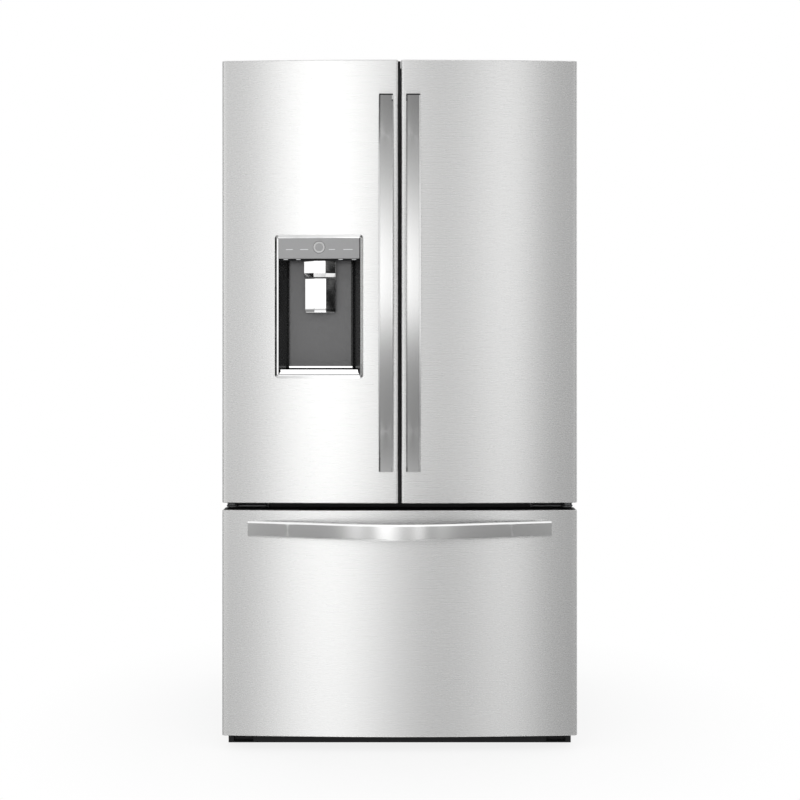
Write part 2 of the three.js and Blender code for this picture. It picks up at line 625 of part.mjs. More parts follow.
// A basket is a tub that hangs by its rim.
function basket(name, front, rear, bottom, rimBottom) {
  const top = rimBottom + 8;
  const body = tub(-366, 366, front, rear, bottom, top, WALL, "top");
  const plate = box(-380, 380, front - 1.5, rear + 4, rimBottom, top);
  const mouth = box(-364, 364, front + 2, rear - 2, rimBottom - 1, top + 1);
  add(name, joined(body, cut(plate, mouth)), clearPlastic);
}

function freezerInside() {
  const vents = [];
  for (let i = 0; i < 5; i++)
    for (const s of [-1, 1]) vents.push(box(s * 230 - 90, s * 230 + 90, 180, 210, 380 + i * 34, 388 + i * 34));
  add("evaporator_cover", cut(box(-392, 392, 188, 200, 337, 584), ...vents), liner);
  const plates = [];
  for (let i = 0; i < 14; i++) plates.push(box(-345 + i * 52, -331 + i * 52, 245, 345, 345, 560));
  const pipes = [385, 450, 515].map((z) => crossRod(-360, 360, 295, z, 8, 6));
  add("evaporator_coil", joined(pipes[0], ...pipes.slice(1), ...plates), coil);
}

cabinet();
basePan();
rearCover();
machineBay();
base();
hinges();
fridgeInside();
for (const side of ["left", "right"])
  mirrored(side, (s) => {
    doorShell(side, s);
    doorLiner(side, s);
    doorGasket(side, s);
    doorHandle(side, s);
  });
doorBin("right_bin_upper", 1, 1300, 130, 105);
doorBin("right_bin_lower", 1, 900, 150, 110);
doorBin("left_door_bin", -1, 900, 150, 110);
iceModule();
doorMullion();
dispenser();
drawerFront();
slides();
basket("lower_basket", -279, 138, 112, RAIL.top + GAP);
basket("upper_basket", -279, 40, 354, FRAME.top + GAP);
freezerInside();

export default refrigerator;
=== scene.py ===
# The visual model of a french door refrigerator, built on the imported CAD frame.
# Lengths in the builders are in millimetres and become metres where a mesh is made. -Y is the front.
import math

import bmesh
import bpy
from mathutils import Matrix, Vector


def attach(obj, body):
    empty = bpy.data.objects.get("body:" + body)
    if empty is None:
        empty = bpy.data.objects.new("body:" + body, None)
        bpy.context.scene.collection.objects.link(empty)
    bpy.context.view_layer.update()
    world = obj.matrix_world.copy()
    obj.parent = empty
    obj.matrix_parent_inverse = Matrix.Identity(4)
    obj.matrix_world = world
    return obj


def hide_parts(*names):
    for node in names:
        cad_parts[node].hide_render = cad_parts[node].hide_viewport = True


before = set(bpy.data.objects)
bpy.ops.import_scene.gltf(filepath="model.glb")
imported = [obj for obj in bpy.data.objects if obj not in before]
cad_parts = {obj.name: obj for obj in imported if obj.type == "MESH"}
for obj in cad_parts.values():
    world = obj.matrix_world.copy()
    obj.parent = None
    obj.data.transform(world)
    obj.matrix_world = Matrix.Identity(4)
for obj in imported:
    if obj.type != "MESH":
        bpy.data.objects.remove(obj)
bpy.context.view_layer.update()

# ---------- driving dimensions, as in the CAD ----------
HALF = 454.0
HANDLE_FRONT = -449.0
DOOR_FRONT = -379.0
DOOR_BACK = -310.0
CASE_REAR = 445.7
CASE_TOP = 1740.0
DOOR_TOP = 1762.0
DOOR_BOTTOM = 631.0
DRAWER_TOP = 614.0
DRAWER_BOTTOM = 35.0
CENTRE_GAP = 4.0
BULGE = 15.0  # how far the front stands out in the middle of its width
FRONT_RADIUS = HALF**2 / (2 * BULGE)
HINGE_X = 430.0
HINGE_Y = -334.0
HINGE_BORE = 5.5
SIDES = {"left": -1, "right": 1}


# ---------- materials ----------
def add_node(tree, kind, **settings):
    made = tree.nodes.new(f"ShaderNode{kind}")
    for key, value in settings.items():
        setattr(made, key, value)
    return made


class Finish:
    """A procedural material: one Principled shader and the texture nodes that feed it."""

    def __init__(self, name, colour, roughness, metallic=0.0, **sockets):
        self.material = bpy.data.materials.new(name)
        self.material.use_nodes = True
        self.tree = self.material.node_tree
        self.shader = self.tree.nodes["Principled BSDF"]
        self.colour = colour
        plain = {"Base_Color": (*colour, 1), "Roughness": roughness, "Metallic": metallic}
        for socket, value in {**plain, **sockets}.items():
            self.shader.inputs[socket.replace("_", " ")].default_value = value
        self.place = self.node("TexCoord").outputs["Object"]

    def node(self, kind, **settings):
        return add_node(self.tree, kind, **settings)

    def link(self, source, node, socket):
        self.tree.links.new(source, node.inputs[socket])

    def noise(self, size, stretch=(1, 1, 1), detail=3.0):
        """Noise with grains of this size in millimetres, drawn out along each axis by stretch."""
        mapping = self.node("Mapping")
        mapping.inputs["Scale"].default_value = [1000.0 / (size * s) for s in stretch]
        self.link(self.place, mapping, "Vector")
        noise = self.node("TexNoise")
        noise.inputs["Scale"].default_value = 1.0
        noise.inputs["Detail"].default_value = detail
        self.link(mapping.outputs["Vector"], noise, "Vector")
        return noise.outputs["Fac"]

    def cells(self, size):
        """Crystal-like cells of this size in millimetres."""
        cells = self.node("TexVoronoi")
        cells.inputs["Scale"].default_value = 1000.0 / size
        self.link(self.place, cells, "Vector")
        return cells.outputs["Color"]

    def spread(self, source, low, high, start=0.3, end=0.7):
        """Maps a texture from start..end onto low..high."""
        spread = self.node("MapRange")
        for socket, value in zip(("From Min", "From Max", "To Min", "To Max"), (start, end, low, high)):
            spread.inputs[socket].default_value = value
        self.link(source, spread, "Value")
        return spread.outputs["Result"]

    def texture(self, source):
        """A texture's own output, or noise when source is a grain size in millimetres."""
        return self.noise(source) if isinstance(source, (int, float)) else source

    def vary_roughness(self, source, low, high):
        self.link(self.spread(self.texture(source), low, high), self.shader, "Roughness")
        return self

    def vary_colour(self, source, dark, light=1.0):
        """Multiplies the colour by dark to light as the texture rises."""
        mix = self.node("Mix", data_type="RGBA")
        mix.inputs["A"].default_value = (*[c * dark for c in self.colour], 1)
        mix.inputs["B"].default_value = (*[c * light for c in self.colour], 1)
        self.link(self.spread(self.texture(source), 0, 1), mix, "Factor")
        self.link(mix.outputs["Result"], self.shader, "Base Color")
        return self

    def bump(self, source, height, strength=1.0):
        """Ridges of this height in millimetres."""
        bump = self.node("Bump")
        bump.inputs["Distance"].default_value = height / 1000.0
        bump.inputs["Strength"].default_value = strength
        self.link(self.texture(source), bump, "Height")
        self.link(bump.outputs["Normal"], self.shader, "Normal")
        return self


def brushed(name, colour, roughness, anisotropy, lines, turn):
    """Steel with fine lines along one axis, whose highlights are drawn out across them."""
    steel = Finish(name, colour, roughness, 1.0, Anisotropic=anisotropy, Anisotropic_Rotation=turn)
    tangent = steel.node("Tangent", direction_type="RADIAL", axis="Z")
    steel.link(tangent.outputs["Tangent"], steel.shader, "Tangent")
    steel.vary_roughness(steel.noise(1.6, lines, 2.0), roughness * 0.97, roughness * 1.03)
    steel.vary_colour(steel.noise(0.9, lines, 4.0), 0.992, 1.006)
    steel.bump(steel.noise(0.5, lines, 2.0), 0.002, 0.045)
    return steel.material


def mirror_steel():
    steel = Finish("polished_steel", (0.86, 0.86, 0.86), 0.08, 1.0)
    return steel.vary_roughness(30, 0.05, 0.12).vary_colour(60, 0.96).material


def case_paint():
    paint = Finish("case_paint", (0.27, 0.275, 0.285), 0.45, 0.35, Coat_Weight=0.15, Coat_Roughness=0.3)
    paint.vary_colour(0.9, 0.88, 1.08).vary_roughness(2.5, 0.38, 0.52)
    return paint.bump(0.7, 0.05, 0.5).material


def white_liner():
    plastic = Finish("white_liner", (0.83, 0.84, 0.845), 0.3, 0.0, Coat_Weight=0.2, Coat_Roughness=0.2)
    return plastic.vary_colour(120, 0.97).vary_roughness(8, 0.26, 0.36).bump(14, 0.05, 0.3).material


def seal_rubber():
    rubber = Finish("seal_rubber", (0.02, 0.02, 0.021), 0.7, Specular_IOR_Level=0.2)
    return rubber.vary_colour(4, 0.8, 1.15).vary_roughness(2, 0.6, 0.8).bump(0.8, 0.03, 0.4).material


def dark_plastic():
    plastic = Finish("dark_plastic", (0.009, 0.009, 0.01), 0.42, Specular_IOR_Level=0.25)
    return plastic.vary_roughness(3, 0.36, 0.52).bump(0.6, 0.03, 0.35).material


def panel_paint():
    paint = Finish("panel_paint", (0.335, 0.335, 0.338), 0.34, 0.35, Coat_Weight=0.25, Coat_Roughness=0.12)
    return paint.vary_colour(0.8, 0.96, 1.04).vary_roughness(5, 0.3, 0.38).material


def recess_plastic():
    coat = {"Coat_Weight": 0.2, "Coat_Roughness": 0.15}
    plastic = Finish("recess_plastic", (0.15, 0.15, 0.152), 0.36, 0.25, **coat)
    return plastic.vary_colour(1.1, 0.93, 1.05).vary_roughness(6, 0.3, 0.42).material


def clear_plastic():
    plastic = Finish("clear_plastic", (0.93, 0.965, 0.98), 0.06, 0.0, IOR=1.49, Transmission_Weight=0.92)
    return plastic.vary_roughness(20, 0.04, 0.12).material


def shelf_glass():
    glass = Finish("shelf_glass", (0.9, 0.97, 0.955), 0.02, 0.0, IOR=1.52, Transmission_Weight=0.96)
    return glass.vary_roughness(90, 0.01, 0.05).material


def galvanised():
    zinc = Finish("galvanised", (0.5, 0.51, 0.52), 0.38, 0.85)
    return zinc.vary_roughness(3, 0.3, 0.48).vary_colour(zinc.cells(9), 0.86, 1.06).material


def black_enamel():
    enamel = Finish("black_enamel", (0.013, 0.013, 0.014), 0.3, 0.1, Coat_Weight=0.4, Coat_Roughness=0.1)
    return enamel.vary_roughness(4, 0.24, 0.4).bump(2.5, 0.04, 0.3).material


# A darker copy of the galvanised zinc for the centre hinges: its darkness is painted shade of the gap they
# sit in.
def zinc_painted_shade():
    zinc = Finish("zinc_painted_shade", (0.12, 0.122, 0.125), 0.42, 0.7)
    return zinc.vary_roughness(3, 0.34, 0.5).vary_colour(zinc.cells(6), 0.85, 1.05).material


def coil_metal():
    metal = Finish("coil_metal", (0.62, 0.625, 0.63), 0.32, 0.95)
    metal.vary_colour(12, 0.85, 1.05).vary_roughness(metal.noise(2, (1, 8, 1)), 0.24, 0.42)
    return metal.material


def lamp_lens():
    lens = Finish("lamp_lens", (0.9, 0.92, 0.93), 0.18, 0.0, Coat_Weight=0.5)
    return lens.vary_colour(2, 0.94).vary_roughness(1, 0.14, 0.24).material


# Near-black plastic for the niche's cheeks: painted shade of the niche's sides.
def niche_cheek_painted_shade():
    plastic = Finish("niche_cheek_painted_shade", (0.006, 0.006, 0.0065), 0.25, 0.0, Coat_Weight=0.2)
    return plastic.vary_roughness(6, 0.2, 0.32).vary_colour(3, 0.9).material


def satin_silver():
    paint = Finish("satin_silver", (0.62, 0.62, 0.62), 0.35, 0.3)
    return paint.vary_roughness(2, 0.3, 0.4).vary_colour(1, 0.95).material


def copper():
    metal = Finish("copper_pipe", (0.72, 0.36, 0.24), 0.3, 1.0)
    return metal.vary_roughness(6, 0.24, 0.42).vary_colour(25, 0.75).material


def lit_diffuser():
    lens = Finish("lit_diffuser", (0.95, 0.96, 0.97), 0.4, 0.0, Emission_Strength=1.6)
    lens.shader.inputs["Emission Color"].default_value = (1.0, 0.98, 0.94, 1)
    return lens.vary_roughness(4, 0.35, 0.5).vary_colour(12, 0.97).material


def shelf_trim():
    plastic = Finish("shelf_trim", (0.8, 0.82, 0.82), 0.25, 0.0, Coat_Weight=0.3)
    return plastic.vary_roughness(5, 0.2, 0.3).vary_colour(30, 0.97).material


LEVEL_LINES = (160, 1, 1)
UPRIGHT_LINES = (1, 1, 160)
QUARTER_TURN = 0.25
# The upright handles get a darker copy of the brushed steel: its lower colour is painted shade.
UPRIGHT_STEEL_PAINTED_SHADE = brushed("upright_handle_steel_painted_shade", (0.72, 0.72, 0.716), 0.2, 0.7, UPRIGHT_LINES, 0.0)
LEVEL_STEEL = brushed("level_handle_steel", (0.93, 0.93, 0.925), 0.24, 0.9, LEVEL_LINES, QUARTER_TURN)
SLOTS = {
    "stainless": brushed("door_steel", (0.9, 0.9, 0.895), 0.27, 1.0, LEVEL_LINES, QUARTER_TURN),
    "polished": mirror_steel(),
    "case_paint": case_paint(),
    "liner": white_liner(),
    "gasket": seal_rubber(),
    "dark_plastic": dark_plastic(),
    "panel": panel_paint(),
    "recess": recess_plastic(),
    "clear_plastic": clear_plastic(),
    "shelf_glass": shelf_glass(),
    "zinc": galvanised(),
    "black_enamel": black_enamel(),
    "coil": coil_metal(),
}
LAMP_LENS = lamp_lens()
NICHE_CHEEK_PAINTED_SHADE = niche_cheek_painted_shade()
SATIN_SILVER = satin_silver()
SHELF_TRIM = shelf_trim()
COPPER = copper()
GLOW = lit_diffuser()
ZINC_PAINTED_SHADE = zinc_painted_shade()


# ---------- mesh helpers: every solid is (points, faces) ----------
TUB_WALL = 2.6


def joined(*solids):
    points, faces = [], []
    for more_points, more_faces in solids:
        start = len(points)
        points.extend(more_points)
        faces.extend([[start + i for i in face] for face in more_faces])
    return points, faces


def moved(solid, change):
    """The solid with change(x, y, z) applied to each point."""
    return [change(*p) for p in solid[0]], solid[1]


def loft(rings, closed=False):
    """Skin over rings of equal length: the last ring meets the first, or else both ends are capped."""
    count, total = len(rings[0]), len(rings)
    points = [p for ring in rings for p in ring]
    faces = []
    for r in range(total if closed else total - 1):
        a, b = r * count, (r + 1) % total * count
        faces += [[a + i, a + (i + 1) % count, b + (i + 1) % count, b + i] for i in range(count)]
    if not closed:
        faces.append(list(range(count))[::-1])
        faces.append([(total - 1) * count + i for i in range(count)])
    return points, faces


def hoop(loops):
    """A closed band; the loops are the corners of its section, each carried all the way round."""
    return loft([list(ring) for ring in zip(*loops)], closed=True)


def turns(count):
    """Angles all the way round a circle."""
    return [2 * math.pi * i / count for i in range(count)]


def quarter(steps=6):
    """Angles from 0 to 90 degrees, in radians."""
    return [math.pi / 2 * i / steps for i in range(steps + 1)]


def arc(a, b, radius, start, end, steps):
    """Points on an arc, angles in degrees."""
    angles = [math.radians(start + (end - start) * i / steps) for i in range(steps + 1)]
    return [(a + radius * math.cos(t), b + radius * math.sin(t)) for t in angles]


def rounded(a0, a1, b0, b1, radius, steps=6):
    r = max(radius, 0.05)
    return (
        arc(a1 - r, b0 + r, r, -90, 0, steps)
        + arc(a1 - r, b1 - r, r, 0, 90, steps)
        + arc(a0 + r, b1 - r, r, 90, 180, steps)
        + arc(a0 + r, b0 + r, r, 180, 270, steps)
    )


def shifted(outline, a, b):
    return [(a + p, b + q) for p, q in outline]


def up(points, z):
    return [(a, b, z) for a, b in points]


def front(points, y):
    return [(a, y, b) for a, b in points]


def side(points, x):
    return [(x, a, b) for a, b in points]


def prism(outline, place, low, high):
    """An outline carried from low to high; place is up, front or side."""
    return loft([place(outline, low), place(outline, high)])


def box(x0, x1, y0, y1, z0, z1, radius=0.0):
    """A block whose upright edges may be rounded."""
    outline = [(x0, y0), (x1, y0), (x1, y1), (x0, y1)]
    if radius:
        outline = rounded(x0, x1, y0, y1, radius, 4)
    return prism(outline, up, z0, z1)


def lathe(profile, place, steps=32):
    """Turns (radius, height) round an axis and caps the ends; place(a, b, height) gives a point."""
    return loft([
        [place(radius * math.cos(t), radius * math.sin(t), height) for t in turns(steps)]
        for radius, height in profile
    ])


def tyre(profile, place, steps):
    """Turns a closed (radius, height) profile round an axis, as for a ring or a wheel."""
    return loft([
        [place(radius * math.cos(t), radius * math.sin(t), height) for radius, height in profile]
        for t in turns(steps)
    ], closed=True)


def tube(path, radius):
    """A round bar along a path of points."""
    rings = []
    points = [Vector(p) for p in path]
    normal = None
    for i, point in enumerate(points):
        ahead = points[min(i + 1, len(points) - 1)] - points[max(i - 1, 0)]
        ahead.normalize()
        if normal is None:
            normal = ahead.orthogonal().normalized()
        normal = (normal - ahead * normal.dot(ahead)).normalized()
        other = ahead.cross(normal)
        rings.append([
            tuple(point + radius * (math.cos(t) * normal + math.sin(t) * other)) for t in turns(12)
        ])
    return loft(rings)


def tub(outline_at, floor, top):
    """An open tub with a rounded bottom edge; outline_at(inset) gives its outline."""
    def ring(inset, height):
        return up(outline_at(inset), height)

    curve, wall = 6.0, TUB_WALL
    rings = [ring(curve * (1 - math.sin(t)), floor + curve * (1 - math.cos(t))) for t in quarter(5)]
    rings += [ring(0, top), ring(wall, top)]
    inner = curve - wall
    for t in quarter(5)[::-1]:
        rings.append(ring(wall + inner * (1 - math.sin(t)), floor + wall + inner * (1 - math.cos(t))))
    return loft(rings)


def piece(name, solid, slot, body, stands_for=(), material=None, bevel=0.0, steps=3, angle=32):
    """Makes an object of a solid in its slot's material or another, and puts it on its CAD body."""
    points, faces = solid
    mesh = bpy.data.meshes.new(name)
    mesh.from_pydata([(x / 1000, y / 1000, z / 1000) for x, y, z in points], [], faces)
    work = bmesh.new()
    work.from_mesh(mesh)
    bmesh.ops.remove_doubles(work, verts=work.verts, dist=1e-7)
    bmesh.ops.recalc_face_normals(work, faces=work.faces)
    work.to_mesh(mesh)
    work.free()
    mesh.materials.append(material or SLOTS[slot])
    made = bpy.data.objects.new(name, mesh)
    bpy.context.scene.collection.objects.link(made)
    finish_edges(made, bevel, steps, angle)
    if body:
        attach(made, body)
        if stands_for:
            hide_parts(*stands_for)
    return made


def finish_edges(made, bevel, steps=3, angle=32):
    made.data.shade_smooth()
    if bevel:
        edges = made.modifiers.new("rounded_edges", "BEVEL")
        edges.width = bevel / 1000
        edges.segments = steps
        edges.limit_method = "ANGLE"
        edges.angle_limit = math.radians(angle)
    else:
        made.data.set_sharp_from_angle(angle=math.radians(angle))
    weighted = made.modifiers.new("flat_faces_stay_flat", "WEIGHTED_NORMAL")
    weighted.keep_sharp = True


def carve(made, *solids):
    """Takes solids away from a piece."""
    for solid in solids:
        cutter = piece("cutter", solid, "stainless", None)
        cutter.modifiers.clear()
        difference = made.modifiers.new("carve", "BOOLEAN")
        difference.operation = "DIFFERENCE"
        difference.solver = "EXACT"
        difference.object = cutter
        made.modifiers.move(len(made.modifiers) - 1, 0)
        with bpy.context.temp_override(object=made, active_object=made):
            bpy.ops.object.modifier_apply(modifier="carve")
        bpy.data.objects.remove(cutter)
    return made


# ---------- curved fronts ----------
FRONT_CORNER = 3.5
FRONT_STEPS = 64


def front_at(x):
    return DOOR_FRONT + FRONT_RADIUS - math.sqrt(FRONT_RADIUS**2 - x**2)


def front_plan(x0, x1, inset, columns=()):
    """The plan of a door or drawer front: one shared arc in front with rounded corners, flat behind."""
    a, b = x0 + inset, x1 - inset
    r = FRONT_CORNER - inset * 0.8
    near0, near1 = front_at(x0) + inset + r, front_at(x1) + inset + r
    left = [(a + r - r * math.cos(t), near0 - r * math.sin(t)) for t in quarter()]
    right = [(b - r + r * math.cos(t), near1 - r * math.sin(t)) for t in quarter()][::-1]
    across = [x0 + (x1 - x0) * i / FRONT_STEPS for i in range(1, FRONT_STEPS)]
    across = [x for x in across if all(abs(x - c) > 2.5 for c in columns)]
    middle = [(x, front_at(x) + inset) for x in sorted([*across, *columns]) if a + r < x < b - r]
    return left + middle + right + [(b, DOOR_BACK - inset), (a, DOOR_BACK - inset)]


def curved_slab(x0, x1, z0, z1, columns=(), levels=(), rim=2.2):
    """A front with its top and bottom edges rolled to a radius of rim."""
    def ring(t, z):
        return up(front_plan(x0, x1, rim * (1 - math.sin(t)), columns), z)

    rings = [ring(t, z0 + rim * (1 - math.cos(t))) for t in quarter()]
    rings += [ring(math.pi / 2, z) for z in levels]
    rings += [ring(t, z1 - rim * (1 - math.cos(t))) for t in quarter()[::-1]]
    return loft(rings)


def pocket(solid, x0, x1, z0, z1, depth):
    """Sinks the part of a curved front between x0..x1 and z0..z1 by depth."""
    points, faces = solid
    near = {
        i for i, (x, y, z) in enumerate(points)
        if x0 - 0.1 < x < x1 + 0.1 and z0 - 0.1 < z < z1 + 0.1 and y < DOOR_FRONT + 20
    }
    sunk = [face for face in faces if all(i in near for i in face)]
    kept = [face for face in faces if not all(i in near for i in face)]
    edges = {(face[i], face[(i + 1) % 4]) for face in sunk for i in range(4)}
    rim = [(a, b) for a, b in edges if (b, a) not in edges]
    deep = {i: len(points) + n for n, i in enumerate(sorted({i for edge in rim for i in edge}))}
    points = points + [(points[i][0], points[i][1] + depth, points[i][2]) for i in sorted(deep)]
    walls = [[a, b, deep[b], deep[a]] for a, b in rim]
    follow = dict(rim)
    loop = [rim[0][0]]
    while follow[loop[-1]] != loop[0]:
        loop.append(follow[loop[-1]])
    return points, kept + walls + [[deep[i] for i in loop]]


DISPENSER_X = -205.6
DISPENSER_TURN = math.asin(DISPENSER_X / FRONT_RADIUS)


def at_dispenser(x, y, z):
    """From the dispenser's own frame, in the tangent plane of the door, to the object's."""
    c, s = math.cos(DISPENSER_TURN), math.sin(DISPENSER_TURN)
    return (DISPENSER_X + c * x - s * y, front_at(DISPENSER_X) + s * x + c * y, z)


def dispenser_piece(name, solid, slot, nodes=(), **settings):
    """A piece drawn in the dispenser's own frame."""
    return piece(name, moved(solid, at_dispenser), slot, "left_door", nodes, **settings)


def hinge_holes(s):
    """Bores for the pins of the top and the centre hinge."""
    def hole(low, high):
        bore = [(HINGE_BORE, low), (HINGE_BORE, high)]
        return lathe(bore, lambda a, b, h: (s * HINGE_X + a, HINGE_Y + b, h), 24)

    return [hole(CASE_TOP - 32, DOOR_TOP + 5), hole(DOOR_BOTTOM - 1, 659)]


OPENING = {"half": 108, "bottom": 955, "top": 1311, "depth": 62}
CAP_INSET = 4.2


def door_skin_solid(s, x0, x1):
    """A door's front, with the hole for the dispenser sunk into the left one."""
    low, high = DOOR_BOTTOM + 0.4, DOOR_TOP - 0.8
    if s > 0:
        return curved_slab(x0, x1, low, high)
    w0, w1 = DISPENSER_X - OPENING["half"], DISPENSER_X + OPENING["half"]
    z0, z1 = OPENING["bottom"], OPENING["top"]
    return pocket(curved_slab(x0, x1, low, high, (w0, w1), (z0, z1)), w0, w1, z0, z1, OPENING["depth"])


def door_panels():
    for name, s in SIDES.items():
        body = f"{name}_door"
        x0, x1 = sorted((s * CENTRE_GAP, s * HALF))
        n0, n1 = sorted((s * 395, s * 460))
        hinge_notch = box(n0, n1, -356, -300, CASE_TOP - 2, DOOR_TOP + 8)
        cuts = [hinge_notch, *hinge_holes(s)]
        slab = door_skin_solid(s, x0, x1)
        skin = piece(f"{name}_door_skin", slab, "stainless", body, [f"{name}_door_panel"])
        carve(skin, *cuts)
        for end, low, high in (("top", DOOR_TOP - 7, DOOR_TOP), ("bottom", DOOR_BOTTOM, DOOR_BOTTOM + 9)):
            solid = prism(front_plan(x0, x1, CAP_INSET), up, low, high)
            carve(piece(f"{name}_door_{end}_cap", solid, "dark_plastic", body), *cuts)


def centre_strip():
    """The black strip on the left door's edge that fills the gap between the doors."""
    strip = box(-CENTRE_GAP - 0.2, CENTRE_GAP - 1.4, -372, -340, DOOR_BOTTOM + 3, DOOR_TOP - 3)
    piece("door_edge_strip", strip, "gasket", "left_door", bevel=0.5)


def divider_strip():
    """The black moulding across the cabinet between the doors' seals and the drawer's."""
    strip = box(-340, 340, -308, -296.4, 608, 636)
    piece("divider_moulding", strip, "dark_plastic", "cabinet", bevel=1.5)


def drawer_panel():
    slab = curved_slab(-HALF, HALF, DRAWER_BOTTOM + 1.0, DRAWER_TOP - 0.8)
    piece("drawer_skin", slab, "stainless", "drawer", ["drawer_panel"])
    bottom_edge = ("bottom", DRAWER_BOTTOM, DRAWER_BOTTOM + 9)
    for end, low, high in (("top", DRAWER_TOP - 8, DRAWER_TOP), bottom_edge):
        cap = prism(front_plan(-HALF, HALF, CAP_INSET), up, low, high)
        piece(f"drawer_{end}_cap", cap, "dark_plastic", "drawer")


# ---------- handles ----------
HANDLE_END = 12.0
HANDLE_THICK = 13.0
HANDLE_CHAMFER = 4.5
FOOT_START = 0.895  # how far out along the half bar a foot begins
FOOT_BLEND = 0.03
BAR_STATIONS = 96
UPRIGHT_BAR = {"near": 16.0, "far": 53.2, "bottom": 713, "top": 1669}
UPRIGHT_CAP_TOP = 1673
LEVEL_BAR = {"bottom": 546, "top": 586, "half": 387}


def plain_bow(u):
    return 1 - u * u


def swept_bow(u):
    return 0.5 * plain_bow(u) + 0.5 * math.cos(math.pi * u / 2) ** 2


def bar_section(a0, a1, outer, back, bevel):
    """Across the bar: flat face, chamfered front corners with a small round, square back corners."""
    soft = 0.8
    return [
        (a0 + soft, back), (a0, back - soft), (a0, outer + bevel + soft), (a0 + 0.3, outer + bevel - 0.2),
        (a0 + bevel - 0.5, outer + 0.35), (a0 + bevel + soft, outer), (a1 - bevel - soft, outer),
        (a1 - bevel + 0.5, outer + 0.35), (a1 - 0.3, outer + bevel - 0.2), (a1, outer + bevel + soft),
        (a1, back - soft), (a1 - soft, back),
    ]


def smooth_step(x):
    x = min(max(x, 0.0), 1.0)
    return x * x * (3 - 2 * x)


def bowed_bar(a0, a1, t0, t1, end_front, surface, bow, place):
    """A bar along t from t0 to t1 that bows off the front and is joined to it by a foot at each end."""
    rings = []
    for i in range(BAR_STATIONS + 1):
        u = -1 + 2 * i / BAR_STATIONS
        t = t0 + (u + 1) / 2 * (t1 - t0)
        outer = end_front + (HANDLE_FRONT - end_front) * bow(u)
        foot = smooth_step((abs(u) - FOOT_START) / FOOT_BLEND)
        seat = surface(t) - 0.4
        back = min(outer + HANDLE_THICK + (seat - outer - HANDLE_THICK) * foot, seat)
        rings.append([place(a, n, t) for a, n in bar_section(a0, a1, outer, back, HANDLE_CHAMFER)])
    return loft(rings)


def polish_bar(made, across, painted_shade_back):
    """Gives a handle its polished chamfers and, where painted_shade_back is set, a black plastic back that
    is also painted shade.
    """
    made.data.materials.append(SLOTS["polished"])
    made.data.materials.append(SLOTS["dark_plastic"])
    for face in made.data.polygons:
        if face.normal.y < -0.4 and abs(face.normal[across]) > 0.5:
            face.material_index = 1
        # the back of the bar is black plastic, dark also as painted shade of the bar's back, which darkens
        # its reflection in the front
        elif painted_shade_back and face.normal.y > 0.6:
            face.material_index = 2


def upright_handles():
    bottom, top = UPRIGHT_BAR["bottom"], UPRIGHT_BAR["top"]
    for name, s in SIDES.items():
        a0, a1 = sorted((s * UPRIGHT_BAR["near"], s * UPRIGHT_BAR["far"]))
        bar = bowed_bar(
            a0, a1, bottom, top, DOOR_FRONT - HANDLE_END - 1, lambda t: DOOR_FRONT, plain_bow,
            lambda a, n, t: (a, n, t),
        )
        made = piece(
            f"{name}_handle_bar", bar, "stainless", f"{name}_door", [f"{name}_door_handle"],
            material=UPRIGHT_STEEL_PAINTED_SHADE, angle=20,
        )
        polish_bar(made, 0, False)
        outline = rounded(a0 + 0.6, a1 - 0.6, DOOR_FRONT - HANDLE_END + 0.6, DOOR_FRONT - 0.6, 3)
        cap = prism(outline, up, top - 0.2, UPRIGHT_CAP_TOP)
        piece(f"{name}_handle_top_cap", cap, "dark_plastic", f"{name}_door", bevel=0.8)


def level_handle():
    half = LEVEL_BAR["half"]
    bar = bowed_bar(
        LEVEL_BAR["bottom"], LEVEL_BAR["top"], -half, half, front_at(half) - HANDLE_END, front_at,
        swept_bow, lambda a, n, t: (t, n, a),
    )
    made = piece(
        "drawer_handle_bar", bar, "stainless", "drawer", ["drawer_handle"], material=LEVEL_STEEL, angle=20
    )
    polish_bar(made, 2, True)


# ---------- dispenser ----------
BEZEL = {"half": 113.0, "bottom": 950.0, "top": 1316.0, "rim": 9.6, "corner": 9.5, "proud": 3.65}
RECESS_BOTTOM = 960.0
RECESS_TOP = 1255.0
RECESS_DEPTH = 56.0
RECESS_HALF = {"front": 104.3, "rear": 83.0}
BUTTON_X = 0.4
BUTTON_Z = 1283.7


def recess_half(y):
    """Half the width of the niche at this depth."""
    return RECESS_HALF["front"] - (RECESS_HALF["front"] - RECESS_HALF["rear"]) * y / RECESS_DEPTH


def bezel_section():
    """(How far in from the outer edge, depth): a long slope, a soft ridge and a short slope."""
    rim, proud = BEZEL["rim"], BEZEL["proud"]
    return [
        (0.0, -0.4), (0.0, -0.6), (0.25, -0.8), (5.6, -proud + 0.12), (5.9, -proud), (6.3, -proud),
        (6.6, -proud + 0.12), (rim - 0.2, -1.6), (rim, -1.3), (rim, -0.4),
    ]


def frame_loft(outline_at, section, place=front):
    """A frame: the section's first value is the inset of the outline, its second the depth."""
    return hoop([place(outline_at(inset), depth) for inset, depth in section])


def bezel():
    def outline_at(inset):
        return rounded(
            -BEZEL["half"] + inset, BEZEL["half"] - inset, BEZEL["bottom"] + inset, BEZEL["top"] - inset,
            BEZEL["corner"] - inset * 0.9, 8,
        )

    solid = frame_loft(outline_at, bezel_section())
    dispenser_piece("dispenser_frame", solid, "polished", ["dispenser_bezel"], angle=50)


